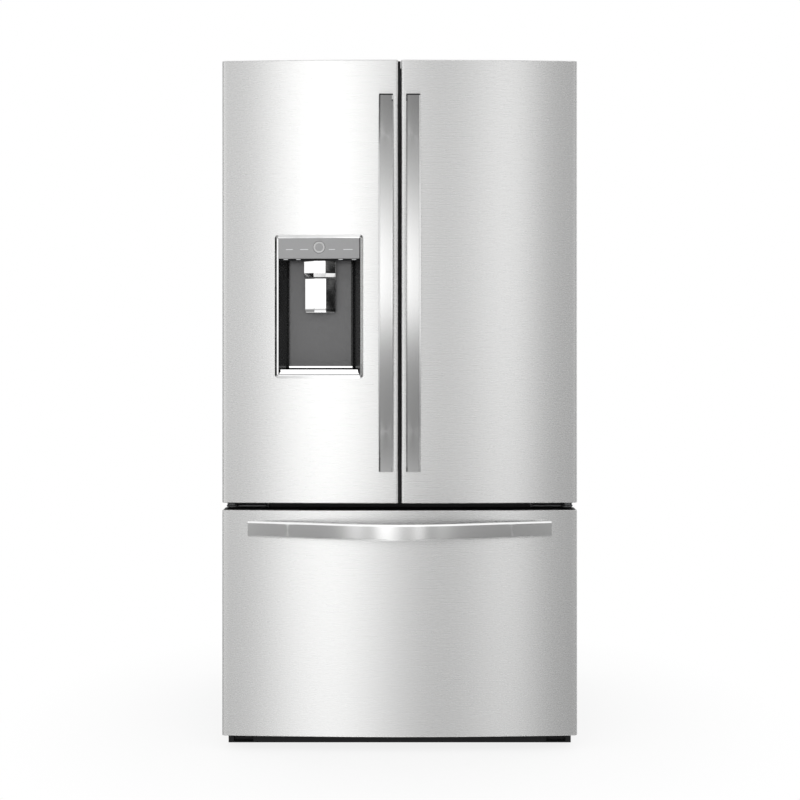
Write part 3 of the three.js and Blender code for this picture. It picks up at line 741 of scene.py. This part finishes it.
def recess():
    """The moulded niche: a grey back wall that rolls into cheeks painted near-black as shade, a floor and a
    ceiling.
    """
    depth, curve = RECESS_DEPTH, 7.0
    inner = []
    for t in quarter():
        y = depth - curve * (1 - math.sin(t))
        inner.append((recess_half(y) + 1.5 - curve * (1 - math.cos(t)), y))
    right = [(recess_half(0.6), 0.6), *inner]
    plan = [(-x, y) for x, y in right] + right[::-1]
    back = depth + 2.9
    outer = [(-107.6, 0.6), (-91, back), (91, back), (107.6, 0.6)]
    walls = prism(plan + outer[::-1], up, RECESS_BOTTOM, RECESS_TOP)
    base = prism(outer, up, RECESS_BOTTOM - 2.6, RECESS_BOTTOM)
    roof = prism([(-103, 13), (103, 13), (91, back), (-91, back)], up, RECESS_TOP, RECESS_TOP + 46)
    niche = joined(walls, base, roof)
    made = dispenser_piece("dispenser_niche", niche, "recess", ["dispenser_recess"], angle=30)
    # the cheeks, away from the middle of the niche, are painted near-black: painted shade
    made.data.materials.append(NICHE_CHEEK_PAINTED_SHADE)
    for face in made.data.polygons:
        if abs(face.center.x * 1000 - DISPENSER_X) > 79.5 and abs(face.normal.z) < 0.5:
            face.material_index = 1
    # A black strip along the front of the niche's ceiling, under the panel: painted shadow.
    painted_shadow_strip = box(-103.4, 103.4, 8, 12.6, RECESS_TOP - 5, RECESS_TOP - 0.2)
    dispenser_piece("niche_painted_shadow_strip", painted_shadow_strip, "dark_plastic", bevel=0.6)


def control_panel():
    outline = rounded(-103.2, 103.2, RECESS_TOP, 1306.2, 2, 5)
    solid = prism(outline, front, -2, 12)
    made = dispenser_piece("dispenser_panel", solid, "panel", ["control_panel"], bevel=0.8)
    hole = lathe([(15.4, -6), (15.4, 9)], lambda a, b, h: (BUTTON_X + a, h, BUTTON_Z + b), 48)
    carve(made, moved(hole, at_dispenser))
    marks = [
        prism(rounded(x - half, x + half, 1277.4, 1278.7, 0.6, 3), front, -2.25, -1.9)
        for x, half in ((-75.5, 9), (-37.7, 10.5), (33, 8), (74, 12))
    ]
    dispenser_piece("panel_marks", joined(*marks), "panel", material=LAMP_LENS)
    lamps = [
        prism(rounded(x - 5.5, x + 5.5, RECESS_TOP - 2.6, RECESS_TOP - 0.8, 0.8, 3), front, 7.2, 8.2)
        for x in (-86, -53.5, 54.5, 89)
    ]
    dispenser_piece("niche_lamps", joined(*lamps), "clear_plastic", material=LAMP_LENS)


def round_button():
    """A flat disc with a raised bright ring round it."""
    profile = [
        (9.6, -2.0), (9.8, -2.2), (10.6, -2.9), (12.6, -3.0), (14.4, -2.6), (15.0, -1.6), (15.0, 5.0),
        (9.6, 5.0),
    ]

    def place(a, b, h):
        return at_dispenser(BUTTON_X + a, h, BUTTON_Z + b)

    piece(
        "button_ring", tyre(profile, place, 64), "polished", "panel_button", ["panel_button"],
        material=SATIN_SILVER, angle=40,
    )
    disc = lathe([(9.0, -2.2), (9.5, -1.9), (9.5, 4.8)], place, 64)
    piece("button_disc", disc, "panel", "panel_button", angle=40)


FACET_SLOPE = math.tan(math.radians(22))
PADDLE_HALF = 39.5
PADDLE_FACE = 29.0
PADDLE_SHEET = 2.4
PADDLE_CORNER = 8.0
PADDLE_CORNER_TOP = 1124.5


def faceted(half, near, far, flat=15.0):
    """A plan with a flat middle and two facets that turn away to the sides."""
    drop = (half - flat) * FACET_SLOPE
    left = [(-half, far), (-half, near + drop), (-flat, near)]
    return left + [(-x, y) for x, y in left[::-1]]


def spout():
    """The block that the water and ice come out of, with a sloping lower edge."""
    levels = [(RECESS_TOP - 0.3, 0.0), (1219.0, 0.0), (1209.0, 7.0)]
    rings = [up(faceted(40.7, 12 + back, RECESS_DEPTH - 0.3), z) for z, back in levels]
    made = dispenser_piece(
        "spout_block", loft(rings), "polished", ["dispenser_spout"], bevel=0.9, steps=4, angle=14
    )
    hole = lathe([(12, 1200), (12, RECESS_TOP + 1)], lambda a, b, h: (a, 38 + b, h), 40)
    carve(made, moved(hole, at_dispenser))


def paddle():
    """A pressed sheet with rounded lower corners and a lip that rolls back, hung from two ears."""
    def half_width(z):
        below = max(0.0, PADDLE_CORNER_TOP - z)
        return PADDLE_HALF - (PADDLE_CORNER - math.sqrt(max(0.0, PADDLE_CORNER**2 - below**2)))

    def bent_sheet(z, back):
        shown = [(x, min(y, 40.0)) for x, y in faceted(half_width(z), PADDLE_FACE + back, 0)[1:5]]
        return up(shown + [(x * 0.97, y + PADDLE_SHEET) for x, y in shown[::-1]], z)

    levels = ((1205.8, 0), (1129, 0), (1124.5, 1.2), (1121, 2.6), (1118.5, 4.2), (1116.9, 6.5))
    rings = [bent_sheet(z, back) for z, back in levels]
    ears = [box(x, x + 8, 37, 44, 1195, 1204) for x in (-34, 26)]
    piece(
        "paddle_plate", moved(joined(loft(rings), *ears), at_dispenser), "polished", "dispenser_paddle",
        ["dispenser_paddle"], bevel=0.5, angle=14,
    )


def drip_tray():
    """A dish with polished bars across its front, slats, and a polished strip over a dark bar behind that
    is painted shadow.
    """
    floor_z = RECESS_BOTTOM + 0.3

    def bar(y0, y1, low, high):
        half = recess_half(y1) - 1.2
        return box(-half, half, y0, y1, floor_z + low, floor_z + high)

    dish = prism([(-102.0, 3.5), (102.0, 3.5), (82.0, 54.5), (-82.0, 54.5)], up, floor_z, floor_z + 4)
    slats = [bar(y, y + 3, 3, 8) for y in (16, 23, 30, 37, 44)]
    grid = joined(dish, bar(3, 9, 0, 5.6), bar(3, 10, 7.8, 12), bar(6, 9, 5, 8), *slats)
    for name, solid, slot, nodes, bevel in (
        ("tray_grid", grid, "polished", ["drip_tray"], 0.7),
        # the dark bar under the rear strip is painted shadow
        ("tray_painted_shadow_bar", bar(50, 54, 3, 15.5), "dark_plastic", [], 0.5),
        ("tray_rear_strip", bar(48.6, 54.4, 15.3, 20.5), "polished", [], 0.7),
    ):
        dispenser_piece(name, solid, slot, nodes, bevel=bevel)


def dispenser():
    bezel()
    recess()
    control_panel()
    round_button()
    spout()
    paddle()
    drip_tray()


# ---------- outside of the cabinet ----------
COVER_FACE = CASE_REAR + 1.55
PRESSINGS = (345, 800, 1255)  # lower edges of the stamped fields on the rear sheet
LOUVRE_HALF = 95


def screw(x, y, z):
    """A pan head with a recess, on the rear of the cabinet."""
    profile = [(0.4, 0.6), (1.6, 0.6), (1.9, 1.5), (3.2, 1.4), (4.2, 0.8), (4.6, 0), (4.6, -1), (0.4, -1)]
    return lathe(profile, lambda a, b, h: (x + a, y + h, z + b), 12)


def bead(x0, x1, z0, z1, y, width=9.0, height=1.4):
    """A stamped ridge that runs round a rectangle on the rear sheet."""
    section = [(0, y), (width * 0.25, y + height * 0.7), (width * 0.5, y + height),
               (width * 0.75, y + height * 0.7), (width, y)]
    return frame_loft(lambda i: rounded(x0 + i, x1 - i, z0 + i, z1 - i, 30 - i), section)


def rear_panel():
    sheet = prism(rounded(-444, 444, 308, 1733, 10), front, CASE_REAR + 0.1, CASE_REAR + 1.3)
    face = CASE_REAR + 1.25
    beads = [bead(-410, 410, z, z + 400, face) for z in PRESSINGS]
    beads += [bead(-250, 250, z + 110, z + 290, face) for z in PRESSINGS]
    piece("rear_panel", joined(sheet, *beads), "case_paint", "cabinet", angle=50)
    heads = [screw(s * 428, face, z) for s in (-1, 1) for z in (330, 560, 790, 1020, 1250, 1480, 1712)]
    heads += [screw(s * 422, COVER_FACE, z) for s in (-1, 1) for z in (62, 175, 288)]
    heads += [screw(x, COVER_FACE, 292) for x in (-210, 0, 210)]
    piece("rear_screws", joined(*heads), "zinc", "cabinet", angle=40)


def rear_cover():
    """The louvred sheet over the machine bay: each slot has a raised lip above it."""
    sheet = prism(rounded(-432, 432, 48, 302, 8), front, 446.1, 447.3)
    made = piece("rear_louvre_sheet", sheet, "zinc", "cabinet", ["rear_cover"], angle=40)
    slots, lips = [], []
    for x in (-270, 0, 270):
        for z in range(100, 229, 32):
            opening = rounded(x - LOUVRE_HALF, x + LOUVRE_HALF, z, z + 12, 5.9)
            slots.append(prism(opening, front, 440, 450))
            hood = shifted([(447.2, 17), (448.9, 12.5), (448.9, 9), (448.1, 9), (447.2, 11.5)], 0, z)
            lips.append(prism(hood, side, x - LOUVRE_HALF + 3, x + LOUVRE_HALF - 3))
    carve(made, *slots)
    piece("rear_louvre_lips", joined(*lips), "zinc", "cabinet", bevel=0.4)


def top_strip_and_seams():
    """A dark strip between the hinge covers, and the folded edges of the cabinet's top."""
    profile = [(-294, 1740.3), (-294, 1756), (-291, 1759), (-262, 1759), (-246, 1752), (-240, 1740.3)]
    piece("top_wiring_strip", prism(profile, side, -386, 386), "dark_plastic", "cabinet", bevel=2.0)
    fold = CASE_TOP + 1.2
    seams = [box(x, x + 12.5, -150, 440, CASE_TOP, fold, 3) for x in (-448.5, 436)]
    seams.append(box(-430, 430, 428, 440, CASE_TOP, fold, 3))
    piece("top_folded_seams", joined(*seams), "case_paint", "cabinet", bevel=0.5)


def hinge_hoods():
    """The covers of the top hinges, each with a cap over its screw."""
    levels = ((0, 1740.3), (0, 1756), (2.5, 1760), (5, 1761))
    for name, s in SIDES.items():
        x0, x1 = sorted((s * 388, s * 449))
        middle = (x0 + x1) / 2
        rings = [up(rounded(x0 + i, x1 - i, -294 + i, -156 - i, 9 - i * 0.8), z) for i, z in levels]
        piece(f"hinge_hood_{name}", loft(rings), "dark_plastic", "cabinet", [f"hinge_cover_{name}"],
              bevel=0.8, angle=20)
        profile = [(7, 0), (7, 0.8), (5.5, 1.0), (0.5, 1.0)]
        cap = lathe(profile, lambda a, b, h, x=middle: (x + a, -180 + b, 1760.9 + h), 24)
        piece(f"hinge_screw_cap_{name}", cap, "dark_plastic", "cabinet")


ROLLER = {"x": 395, "y": 395, "z": 19.5}


def rollers():
    """Two wheels with a moulded tread, spokes and an axle."""
    half = [(15, 10.5), (15.5, 8), (17, 8), (18.6, 7.2), (19.5, 5)]
    profile = [(4, -10.5), *[(r, -h) for r, h in half], *half[::-1], (4, 10.5), (4, 20), (3.4, 20.6),
               (0.3, 20.6), (0.3, -20.6), (3.4, -20.6), (4, -20)]
    for name, s in SIDES.items():
        x, y, z = s * ROLLER["x"], ROLLER["y"], ROLLER["z"]
        wheel = tyre(profile, lambda a, b, h, x=x: (x + h, y + a, z + b), 48)
        spokes = []
        for t in turns(6):
            b, c = y + 8 * math.cos(t), z + 8 * math.sin(t)
            spokes.append(box(x - 9, x + 9, b - 1.2, b + 1.2, c - 1.2, c + 1.2))
        piece(f"roller_wheel_{name}", joined(wheel, *spokes), "dark_plastic", f"rear_roller_{name}",
              [f"rear_roller_{name}"], angle=40)


def compressor():
    profile = [(0.5, 51.5), (60, 51.5), (62, 53), (72, 58), (79, 68), (82, 82), (82, 118), (83.5, 119),
               (83.5, 125), (82, 126), (82, 168), (80, 186), (74, 201), (62, 214), (45, 223), (24, 227.5),
               (0.5, 228.5)]
    can = lathe(profile, lambda a, b, h: (230 + a, 345 + b, h), 64)
    route = [(230, 290, 180), (230, 268, 180), (222, 256, 182), (205, 254, 190), (150, 254, 200)]
    relay = box(288, 313, 318, 372, 110, 175, 4)
    piece("compressor_can", can, "black_enamel", "cabinet", ["compressor"], angle=50)
    piece("compressor_pipe", tube(route, 4), "coil", "cabinet", material=COPPER, angle=50)
    piece("compressor_relay", relay, "dark_plastic", "cabinet", bevel=2)


# ---------- inside the fridge ----------
SHELF_HALF = 398
SHELF_NOSE = [
    (0, 3), (2, 0), (12, 0), (14, 2.5), (14, 3.9), (6, 3.9), (6, 8.7), (14, 8.7), (14, 9.6), (8, 12),
    (2, 12), (0, 9.5),
]
SHELF_TAIL = [(-12, 1.5), (0, 1.5), (0, 12), (-3, 12), (-3, 8.7), (-12, 8.7)]
BRACKET = [(-78, 0.8), (-78, -1), (200, -20), (330, -45), (342, -45), (342, 0.8)]
RAIL_X = 391
LAMP_X = 190


def glass_shelf(name, x0, x1, z, front_y=-140.0, rear_y=335.0):
    """A pane held in a moulded front and rear trim with side bars."""
    pane = prism(rounded(x0 + 5, x1 - 5, front_y + 5, rear_y - 4, 6, 5), up, z + 4, z + 8.5)
    piece(f"{name}_pane", pane, "shelf_glass", "cabinet", [name], bevel=0.6)
    trims = [
        prism(shifted(SHELF_NOSE, front_y, z), side, x0, x1),
        prism(shifted(SHELF_TAIL, rear_y, z), side, x0, x1),
    ]
    trims += [box(x, x + 6, front_y + 12, rear_y - 8, z + 1, z + 3.9) for x in (x0, x1 - 6)]
    piece(f"{name}_trim", joined(*trims), "liner", "cabinet", material=SHELF_TRIM, bevel=0.7)


def shelves():
    """Three shelves on pressed brackets, and the one over the crispers on its own side rails."""
    for name, x0, x1, z in (
        ("upper_shelf_left", -SHELF_HALF, -CENTRE_GAP, 1330),
        ("upper_shelf_right", CENTRE_GAP, SHELF_HALF, 1400),
        ("middle_shelf", -SHELF_HALF, SHELF_HALF, 1090),
    ):
        glass_shelf(name, x0, x1, z)
        arms = [prism(shifted(BRACKET, 0, z), side, x, x + 2.5) for x in (x0 + 1, x1 - 3.5)]
        piece(f"{name}_brackets", joined(*arms), "liner", "cabinet", bevel=0.6)
    glass_shelf("crisper_shelf", -SHELF_HALF - 1, SHELF_HALF + 1, 859, -112, 330)
    parts = [box(-4, 4, -90, 325, 659, 857)]
    parts += [box(x, x + 7, -90, 325, 838, 858) for x in (-399, 392)]
    piece("crisper_divider", joined(*parts), "liner", "cabinet", material=SHELF_TRIM, bevel=1.2)


def shelf_rails():
    """Slotted uprights on the rear wall that the brackets hook into."""
    rails = [box(x - 6, x + 6, 343.5, 376, 960, 1640, 2) for x in (-RAIL_X, RAIL_X)]
    made = piece("shelf_rails", joined(*rails), "liner", "cabinet", bevel=0.8)
    slots = [
        box(x - 2, x + 2, 340, 350, z, z + 14) for x in (-RAIL_X, RAIL_X) for z in range(985, 1630, 40)
    ]
    carve(made, *slots)


def fridge_lamps():
    """Two framed lamp strips in the ceiling."""
    places = (-LAMP_X, LAMP_X)
    bars = [prism(rounded(x - 130, x + 130, -190, -150, 12), up, 1686, 1691.5) for x in places]
    piece("ceiling_lamps", joined(*bars), "clear_plastic", "cabinet", material=GLOW, bevel=1.5)
    section = [(0.0, 1691.6), (0.0, 1689.5), (1.5, 1688.5), (4.5, 1688.5), (5.0, 1689.2), (5.0, 1691.6)]
    frames = [
        frame_loft(lambda i, x=x: rounded(x - 136 + i, x + 136 - i, -196 + i, -144 - i, 14), section, up)
        for x in places
    ]
    piece("ceiling_lamp_frames", joined(*frames), "liner", "cabinet", angle=50)


def crispers():
    """Clear tubs with a lipped grip across the front."""
    grip = [
        (-99.8, 846), (-111, 846), (-114, 843), (-114, 822), (-112.5, 820), (-111, 822), (-111, 841),
        (-99.8, 843),
    ]
    for name, s in SIDES.items():
        x0, x1 = sorted((s * 8, s * 388))

        def outline_at(inset, a=x0, b=x1):
            return rounded(a + inset, b - inset, -100 + inset, 310 - inset, 14 - inset, 5)

        handle = prism(grip, side, x0 + 40, x1 - 40)
        ends = [box(x, x + 3, -113, -99.8, 822, 845) for x in (x0 + 40, x1 - 43)]
        body = f"crisper_{name}"
        solid = joined(tub(outline_at, 659, 848), handle, *ends)
        piece(f"crisper_bin_{name}", solid, "clear_plastic", body, [body], angle=35)


# ---------- inside of the doors ----------
def gaskets():
    """Rubber bellows that close the gap between a door and the cabinet."""
    section = [(0.2, -309.7), (0.2, -305.5), (1.8, -303.5), (0.4, -301), (1.8, -298.4), (2.6, -296.6),
               (11.4, -296.4), (12.2, -298.4), (13.6, -301), (12.2, -303.5), (13.8, -305.5), (13.8, -309.7)]
    rings = [("drawer", "drawer_gasket", -430, 430, 70, 606)]
    for name, s in SIDES.items():
        x0, x1 = sorted((s * 16, s * HINGE_X))
        rings.append((f"{name}_door", f"{name}_door_gasket", x0, x1, 638, 1714))
    for body, node, x0, x1, z0, z1 in rings:
        solid = frame_loft(
            lambda i, a=x0, b=x1, c=z0, d=z1: rounded(a + i, b - i, c + i, d - i, 16 - i), section
        )
        piece(f"{node}_bellows", solid, "gasket", body, [node], angle=60)


def door_bin(name, body, s, z, height, depth):
    """A clear bin with a white band round its upper edge."""
    x0, x1 = sorted((s * 60, s * 379))
    back, edge, top = -299, -299 + depth, z + height
    bin_tub = tub(lambda i: rounded(x0 + i, x1 - i, back + i, edge - i, 16 - i), z, top)
    piece(f"{name}_tub", bin_tub, "clear_plastic", body, [name], angle=35)
    outline = rounded(x0 - 0.9, x1 + 0.9, back + 20, edge + 1.2, 14)
    inner = rounded(x0 + 1.2, x1 - 1.2, back + 22, edge - 1.0, 12)
    band = hoop([up(outline, top - 22), up(outline, top - 2), up(inner, top - 2), up(inner, top - 22)])
    piece(f"{name}_band", band, "liner", body, material=SHELF_TRIM, bevel=0.6)


def door_bins():
    door_bin("right_bin_upper", "right_door", 1, 1300, 130, 105)
    door_bin("right_bin_lower", "right_door", 1, 900, 150, 110)
    door_bin("left_door_bin", "left_door", -1, 900, 150, 110)


def ice_bin_cover():
    """The plate, window and latch on the front of the ice bin."""
    plate = prism(rounded(-372, -68, 1352, 1632, 12), front, -168.4, -165.6)
    piece("ice_bin_plate", plate, "liner", "left_door", bevel=1.2)
    window = prism(rounded(-330, -110, 1440, 1570, 8), front, -165.8, -164.8)
    piece("ice_bin_window", window, "clear_plastic", "left_door", bevel=0.4)
    pull = box(-146, -104, -160, -154, 1380, 1386, 2)
    latch = joined(box(-150, -100, -165.8, -158, 1376, 1404, 4), pull)
    piece("ice_bin_latch", latch, "liner", "left_door", material=SATIN_SILVER, bevel=1.5)


# ---------- freezer ----------
BASKET_HALF = 366


def basket(name, body, rear_y, bottom, rim):
    """A ribbed clear tub with a flange that rests on the frame or the lower basket."""
    front_y, top = -279, rim + 8

    def outline_at(inset):
        half = BASKET_HALF - inset
        return rounded(-half, half, front_y + inset, rear_y - inset, 18 - inset)

    outer = rounded(-380, 380, front_y - 1.5, rear_y + 4, 20)
    inner = rounded(-365, 365, front_y + 1, rear_y - 1, 17)
    flange = hoop([up(outer, rim), up(outer, top - 1), up(inner, top - 1), up(inner, rim)])
    ribs = []
    for x in range(-330, 331, 60):
        for y0, y1 in ((front_y - 1.2, front_y + 0.5), (rear_y - 0.5, rear_y + 1.2)):
            ribs.append(box(x - 2, x + 2, y0, y1, bottom + 20, rim - 6))
    solid = joined(tub(outline_at, bottom, top), flange, *ribs)
    piece(f"{name}_tub", solid, "clear_plastic", body, [name], angle=35)


def baskets():
    basket("lower_basket", "drawer", 138, 112, 340.3)
    basket("upper_basket", "upper_basket", 40, 354, 462)


# ---------- carried-over CAD nodes ----------
def both(name):
    return [f"{name}_{where}" for where in SIDES]


NODE_SLOTS = {
    "case_paint": ["cabinet_case"],
    "liner": [
        "fridge_liner", "freezer_liner", "air_duct", "left_door_liner", "right_door_liner", "ice_bin",
        "drawer_liner", "evaporator_cover",
    ],
    "dark_plastic": ["base_grille", "condenser_fan", "door_mullion"],
    "zinc": [
        "base_pan", *both("levelling_leg"), *both("top_hinge"), *both("centre_hinge"), *both("outer_rail"),
        *both("middle_rail"), "drawer_frame", "pinion_shaft",
    ],
    "coil": ["condenser_coil", "evaporator_coil"],
}
FINE_EDGES = {
    "cabinet_case": 1.5, "fridge_liner": 1.2, "freezer_liner": 1.2, "pinion_shaft": 0.3,
    "drawer_liner": 3.0, "base_grille": 1.2, "left_door_liner": 4.0, "right_door_liner": 4.0,
    "air_duct": 2.0, "ice_bin": 2.5, "door_mullion": 1.5,
}


def carried_over_nodes():
    for slot, names in NODE_SLOTS.items():
        for name in names:
            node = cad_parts[name]
            node.data.materials.clear()
            # the centre hinges take the darker copy of the zinc, as painted shade
            node.data.materials.append(ZINC_PAINTED_SHADE if name.startswith("centre_hinge") else SLOTS[slot])
            if node.data.has_custom_normals:
                with bpy.context.temp_override(object=node, active_object=node):
                    bpy.ops.mesh.customdata_custom_splitnormals_clear()
            weld = node.modifiers.new("one_skin", "WELD")
            weld.merge_threshold = 1e-5
            finish_edges(node, FINE_EDGES.get(name, 0.8), 2, 40)


# ---------- camera, light and floor ----------
CAMERA_DISTANCE = 3.2
CAMERA_HEIGHT = 1.017
SENSOR = 36.0
VIEW_WIDTH = 2.0464  # metres across the picture at the doors
VIEW_DEPTH = CAMERA_DISTANCE + 0.015
VIEW_SHIFT = (0.0004, -0.06)
SOFT_LEVEL = 0.85  # the light on matt surfaces, level with the horizon
SOFT_RISE = 0.25
OVERHEAD_LEVEL = 1.4
OVERHEAD = (0.75, 0.9)  # heights, as the sine of the angle, between which the light overhead takes over


def camera():
    data = bpy.data.cameras.new("camera")
    data.sensor_width = SENSOR
    data.lens = SENSOR * VIEW_DEPTH / VIEW_WIDTH
    data.shift_x, data.shift_y = VIEW_SHIFT
    made = bpy.data.objects.new("camera", data)
    made.location = (0, DOOR_FRONT / 1000 - CAMERA_DISTANCE, CAMERA_HEIGHT)
    made.rotation_euler = (math.pi / 2, 0, 0)
    bpy.context.scene.collection.objects.link(made)
    bpy.context.scene.camera = made


# How bright the studio is all round: degrees from straight behind the camera towards +X, and level.
STUDIO_ROUND = [
    (-180, 0.60), (-84, 0.95), (-81.5, 0.01), (-61, 0.01), (-59, 1.30), (-38.5, 1.20), (-36.5, 0.50),
    (-25.5, 0.62), (-21, 1.50), (-17.6, 1.30), (-15.9, 0.80), (-13, 0.94), (-11.5, 1.52), (-10, 1.90),
    (-7.5, 2.15), (-5, 2.15), (-3, 1.68), (0, 1.25), (2.5, 0.90), (5, 0.88), (7.5, 1.26), (10, 1.74),
    (11.2, 1.54), (12.6, 0.70), (16.0, 0.53), (18.5, 1.02), (25.5, 0.55), (35.5, 0.50), (36.2, 0.01),
    (40.5, 0.01), (42.5, 1.30), (180, 0.60),
]
# The same by height: degrees above the horizon, and level.
STUDIO_UP = [
    (-90, 1.0), (-50, 0.8), (-38, 0.55), (-32, 0.38), (-27, 0.24), (-17, 0.27), (-12, 0.33),
    (-9, 0.43), (-6, 0.60), (-3, 0.84), (0, 0.97), (6, 1.0), (11, 0.93), (17, 0.72), (23, 0.50),
    (29, 0.37), (36, 0.23), (45, 0.18), (60, 0.7), (90, 1.0),
]


def between(tree, value, low, high):
    """0 at low, 1 at high, and level outside."""
    spread = add_node(tree, "MapRange")
    spread.inputs["From Min"].default_value = low
    spread.inputs["From Max"].default_value = high
    tree.links.new(value, spread.inputs["Value"])
    return spread.outputs["Result"]


def ramp(tree, value, stops):
    """A curve of grey through the stops, each of an angle in degrees and a level, fed by an angle."""
    low, high = stops[0][0], stops[-1][0]
    made = add_node(tree, "ValToRGB")
    curve = made.color_ramp
    for at, level in stops[1:-1]:
        curve.elements.new((at - low) / (high - low)).color = (level, level, level, 1)
    curve.elements[0].color = (stops[0][1],) * 3 + (1,)
    curve.elements[len(stops) - 1].color = (stops[-1][1],) * 3 + (1,)
    tree.links.new(between(tree, value, math.radians(low), math.radians(high)), made.inputs["Fac"])
    return made.outputs["Color"]


def maths(tree, operation, *values):
    made = add_node(tree, "Math", operation=operation)
    for socket, value in zip(made.inputs, values):
        if isinstance(value, (int, float)):
            socket.default_value = value
        else:
            tree.links.new(value, socket)
    return made.outputs["Value"]


def studio():
    """White behind the object, and soft walls of light round it that the steel mirrors."""
    world = bpy.data.worlds.new("studio")
    world.use_nodes = True
    bpy.context.scene.world = world
    tree = world.node_tree
    background = tree.nodes["Background"]
    split = add_node(tree, "SeparateXYZ")
    tree.links.new(add_node(tree, "TexCoord").outputs["Generated"], split.inputs["Vector"])
    x, y, z = (split.outputs[axis] for axis in "XYZ")
    round_angle = maths(tree, "ARCTAN2", x, maths(tree, "MULTIPLY", y, -1.0))
    height_angle = maths(tree, "ARCSINE", z)
    walls = ramp(tree, round_angle, STUDIO_ROUND)
    overhead = add_node(tree, "Mix")
    overhead.inputs["B"].default_value = OVERHEAD_LEVEL
    tree.links.new(walls, overhead.inputs["A"])
    tree.links.new(between(tree, z, *OVERHEAD), overhead.inputs["Factor"])
    level = maths(tree, "MULTIPLY", overhead.outputs["Result"], ramp(tree, height_angle, STUDIO_UP))
    rays = add_node(tree, "LightPath")
    soft = maths(tree, "ADD", maths(tree, "MULTIPLY", z, SOFT_RISE), SOFT_LEVEL)
    seen = maths(tree, "MAXIMUM", rays.outputs["Is Camera Ray"], rays.outputs["Is Transmission Ray"])
    glossy = maths(tree, "MULTIPLY", rays.outputs["Is Glossy Ray"], level)
    others = maths(tree, "SUBTRACT", 1.0, maths(tree, "MAXIMUM", seen, rays.outputs["Is Glossy Ray"]))
    total = maths(tree, "ADD", maths(tree, "ADD", seen, glossy), maths(tree, "MULTIPLY", others, soft))
    tree.links.new(total, background.inputs["Strength"])
    background.inputs["Color"].default_value = (1, 1, 1, 1)


def floor():
    """A pale floor that fades to the white of the background away from the object."""
    paper = Finish("floor_paper", (0.9, 0.9, 0.9), 0.9)
    paper.vary_colour(3, 0.995)
    mix = paper.node("MixShader")
    glow = paper.node("Emission")
    distance = paper.node("VectorMath", operation="LENGTH")
    paper.link(paper.place, distance, 0)
    paper.link(paper.spread(distance.outputs["Value"], 0.82, 1, 0.5, 1.1), mix, 0)
    paper.link(paper.shader.outputs["BSDF"], mix, 1)
    paper.link(glow.outputs["Emission"], mix, 2)
    output = paper.tree.nodes["Material Output"]
    paper.link(mix.outputs["Shader"], output, "Surface")
    outline = [(3000 * math.cos(t), 3000 * math.sin(t)) for t in turns(96)]
    made = piece("floor", prism(outline, up, -20, -0.2), None, None, material=paper.material)
    made.visible_glossy = False


camera()
studio()
floor()
door_panels()
centre_strip()
divider_strip()
drawer_panel()
upright_handles()
level_handle()
dispenser()
rear_panel()
rear_cover()
top_strip_and_seams()
hinge_hoods()
rollers()
compressor()
shelves()
shelf_rails()
fridge_lamps()
crispers()
gaskets()
door_bins()
ice_bin_cover()
baskets()
carried_over_nodes()
bpy.context.scene.view_settings.view_transform = "Standard"
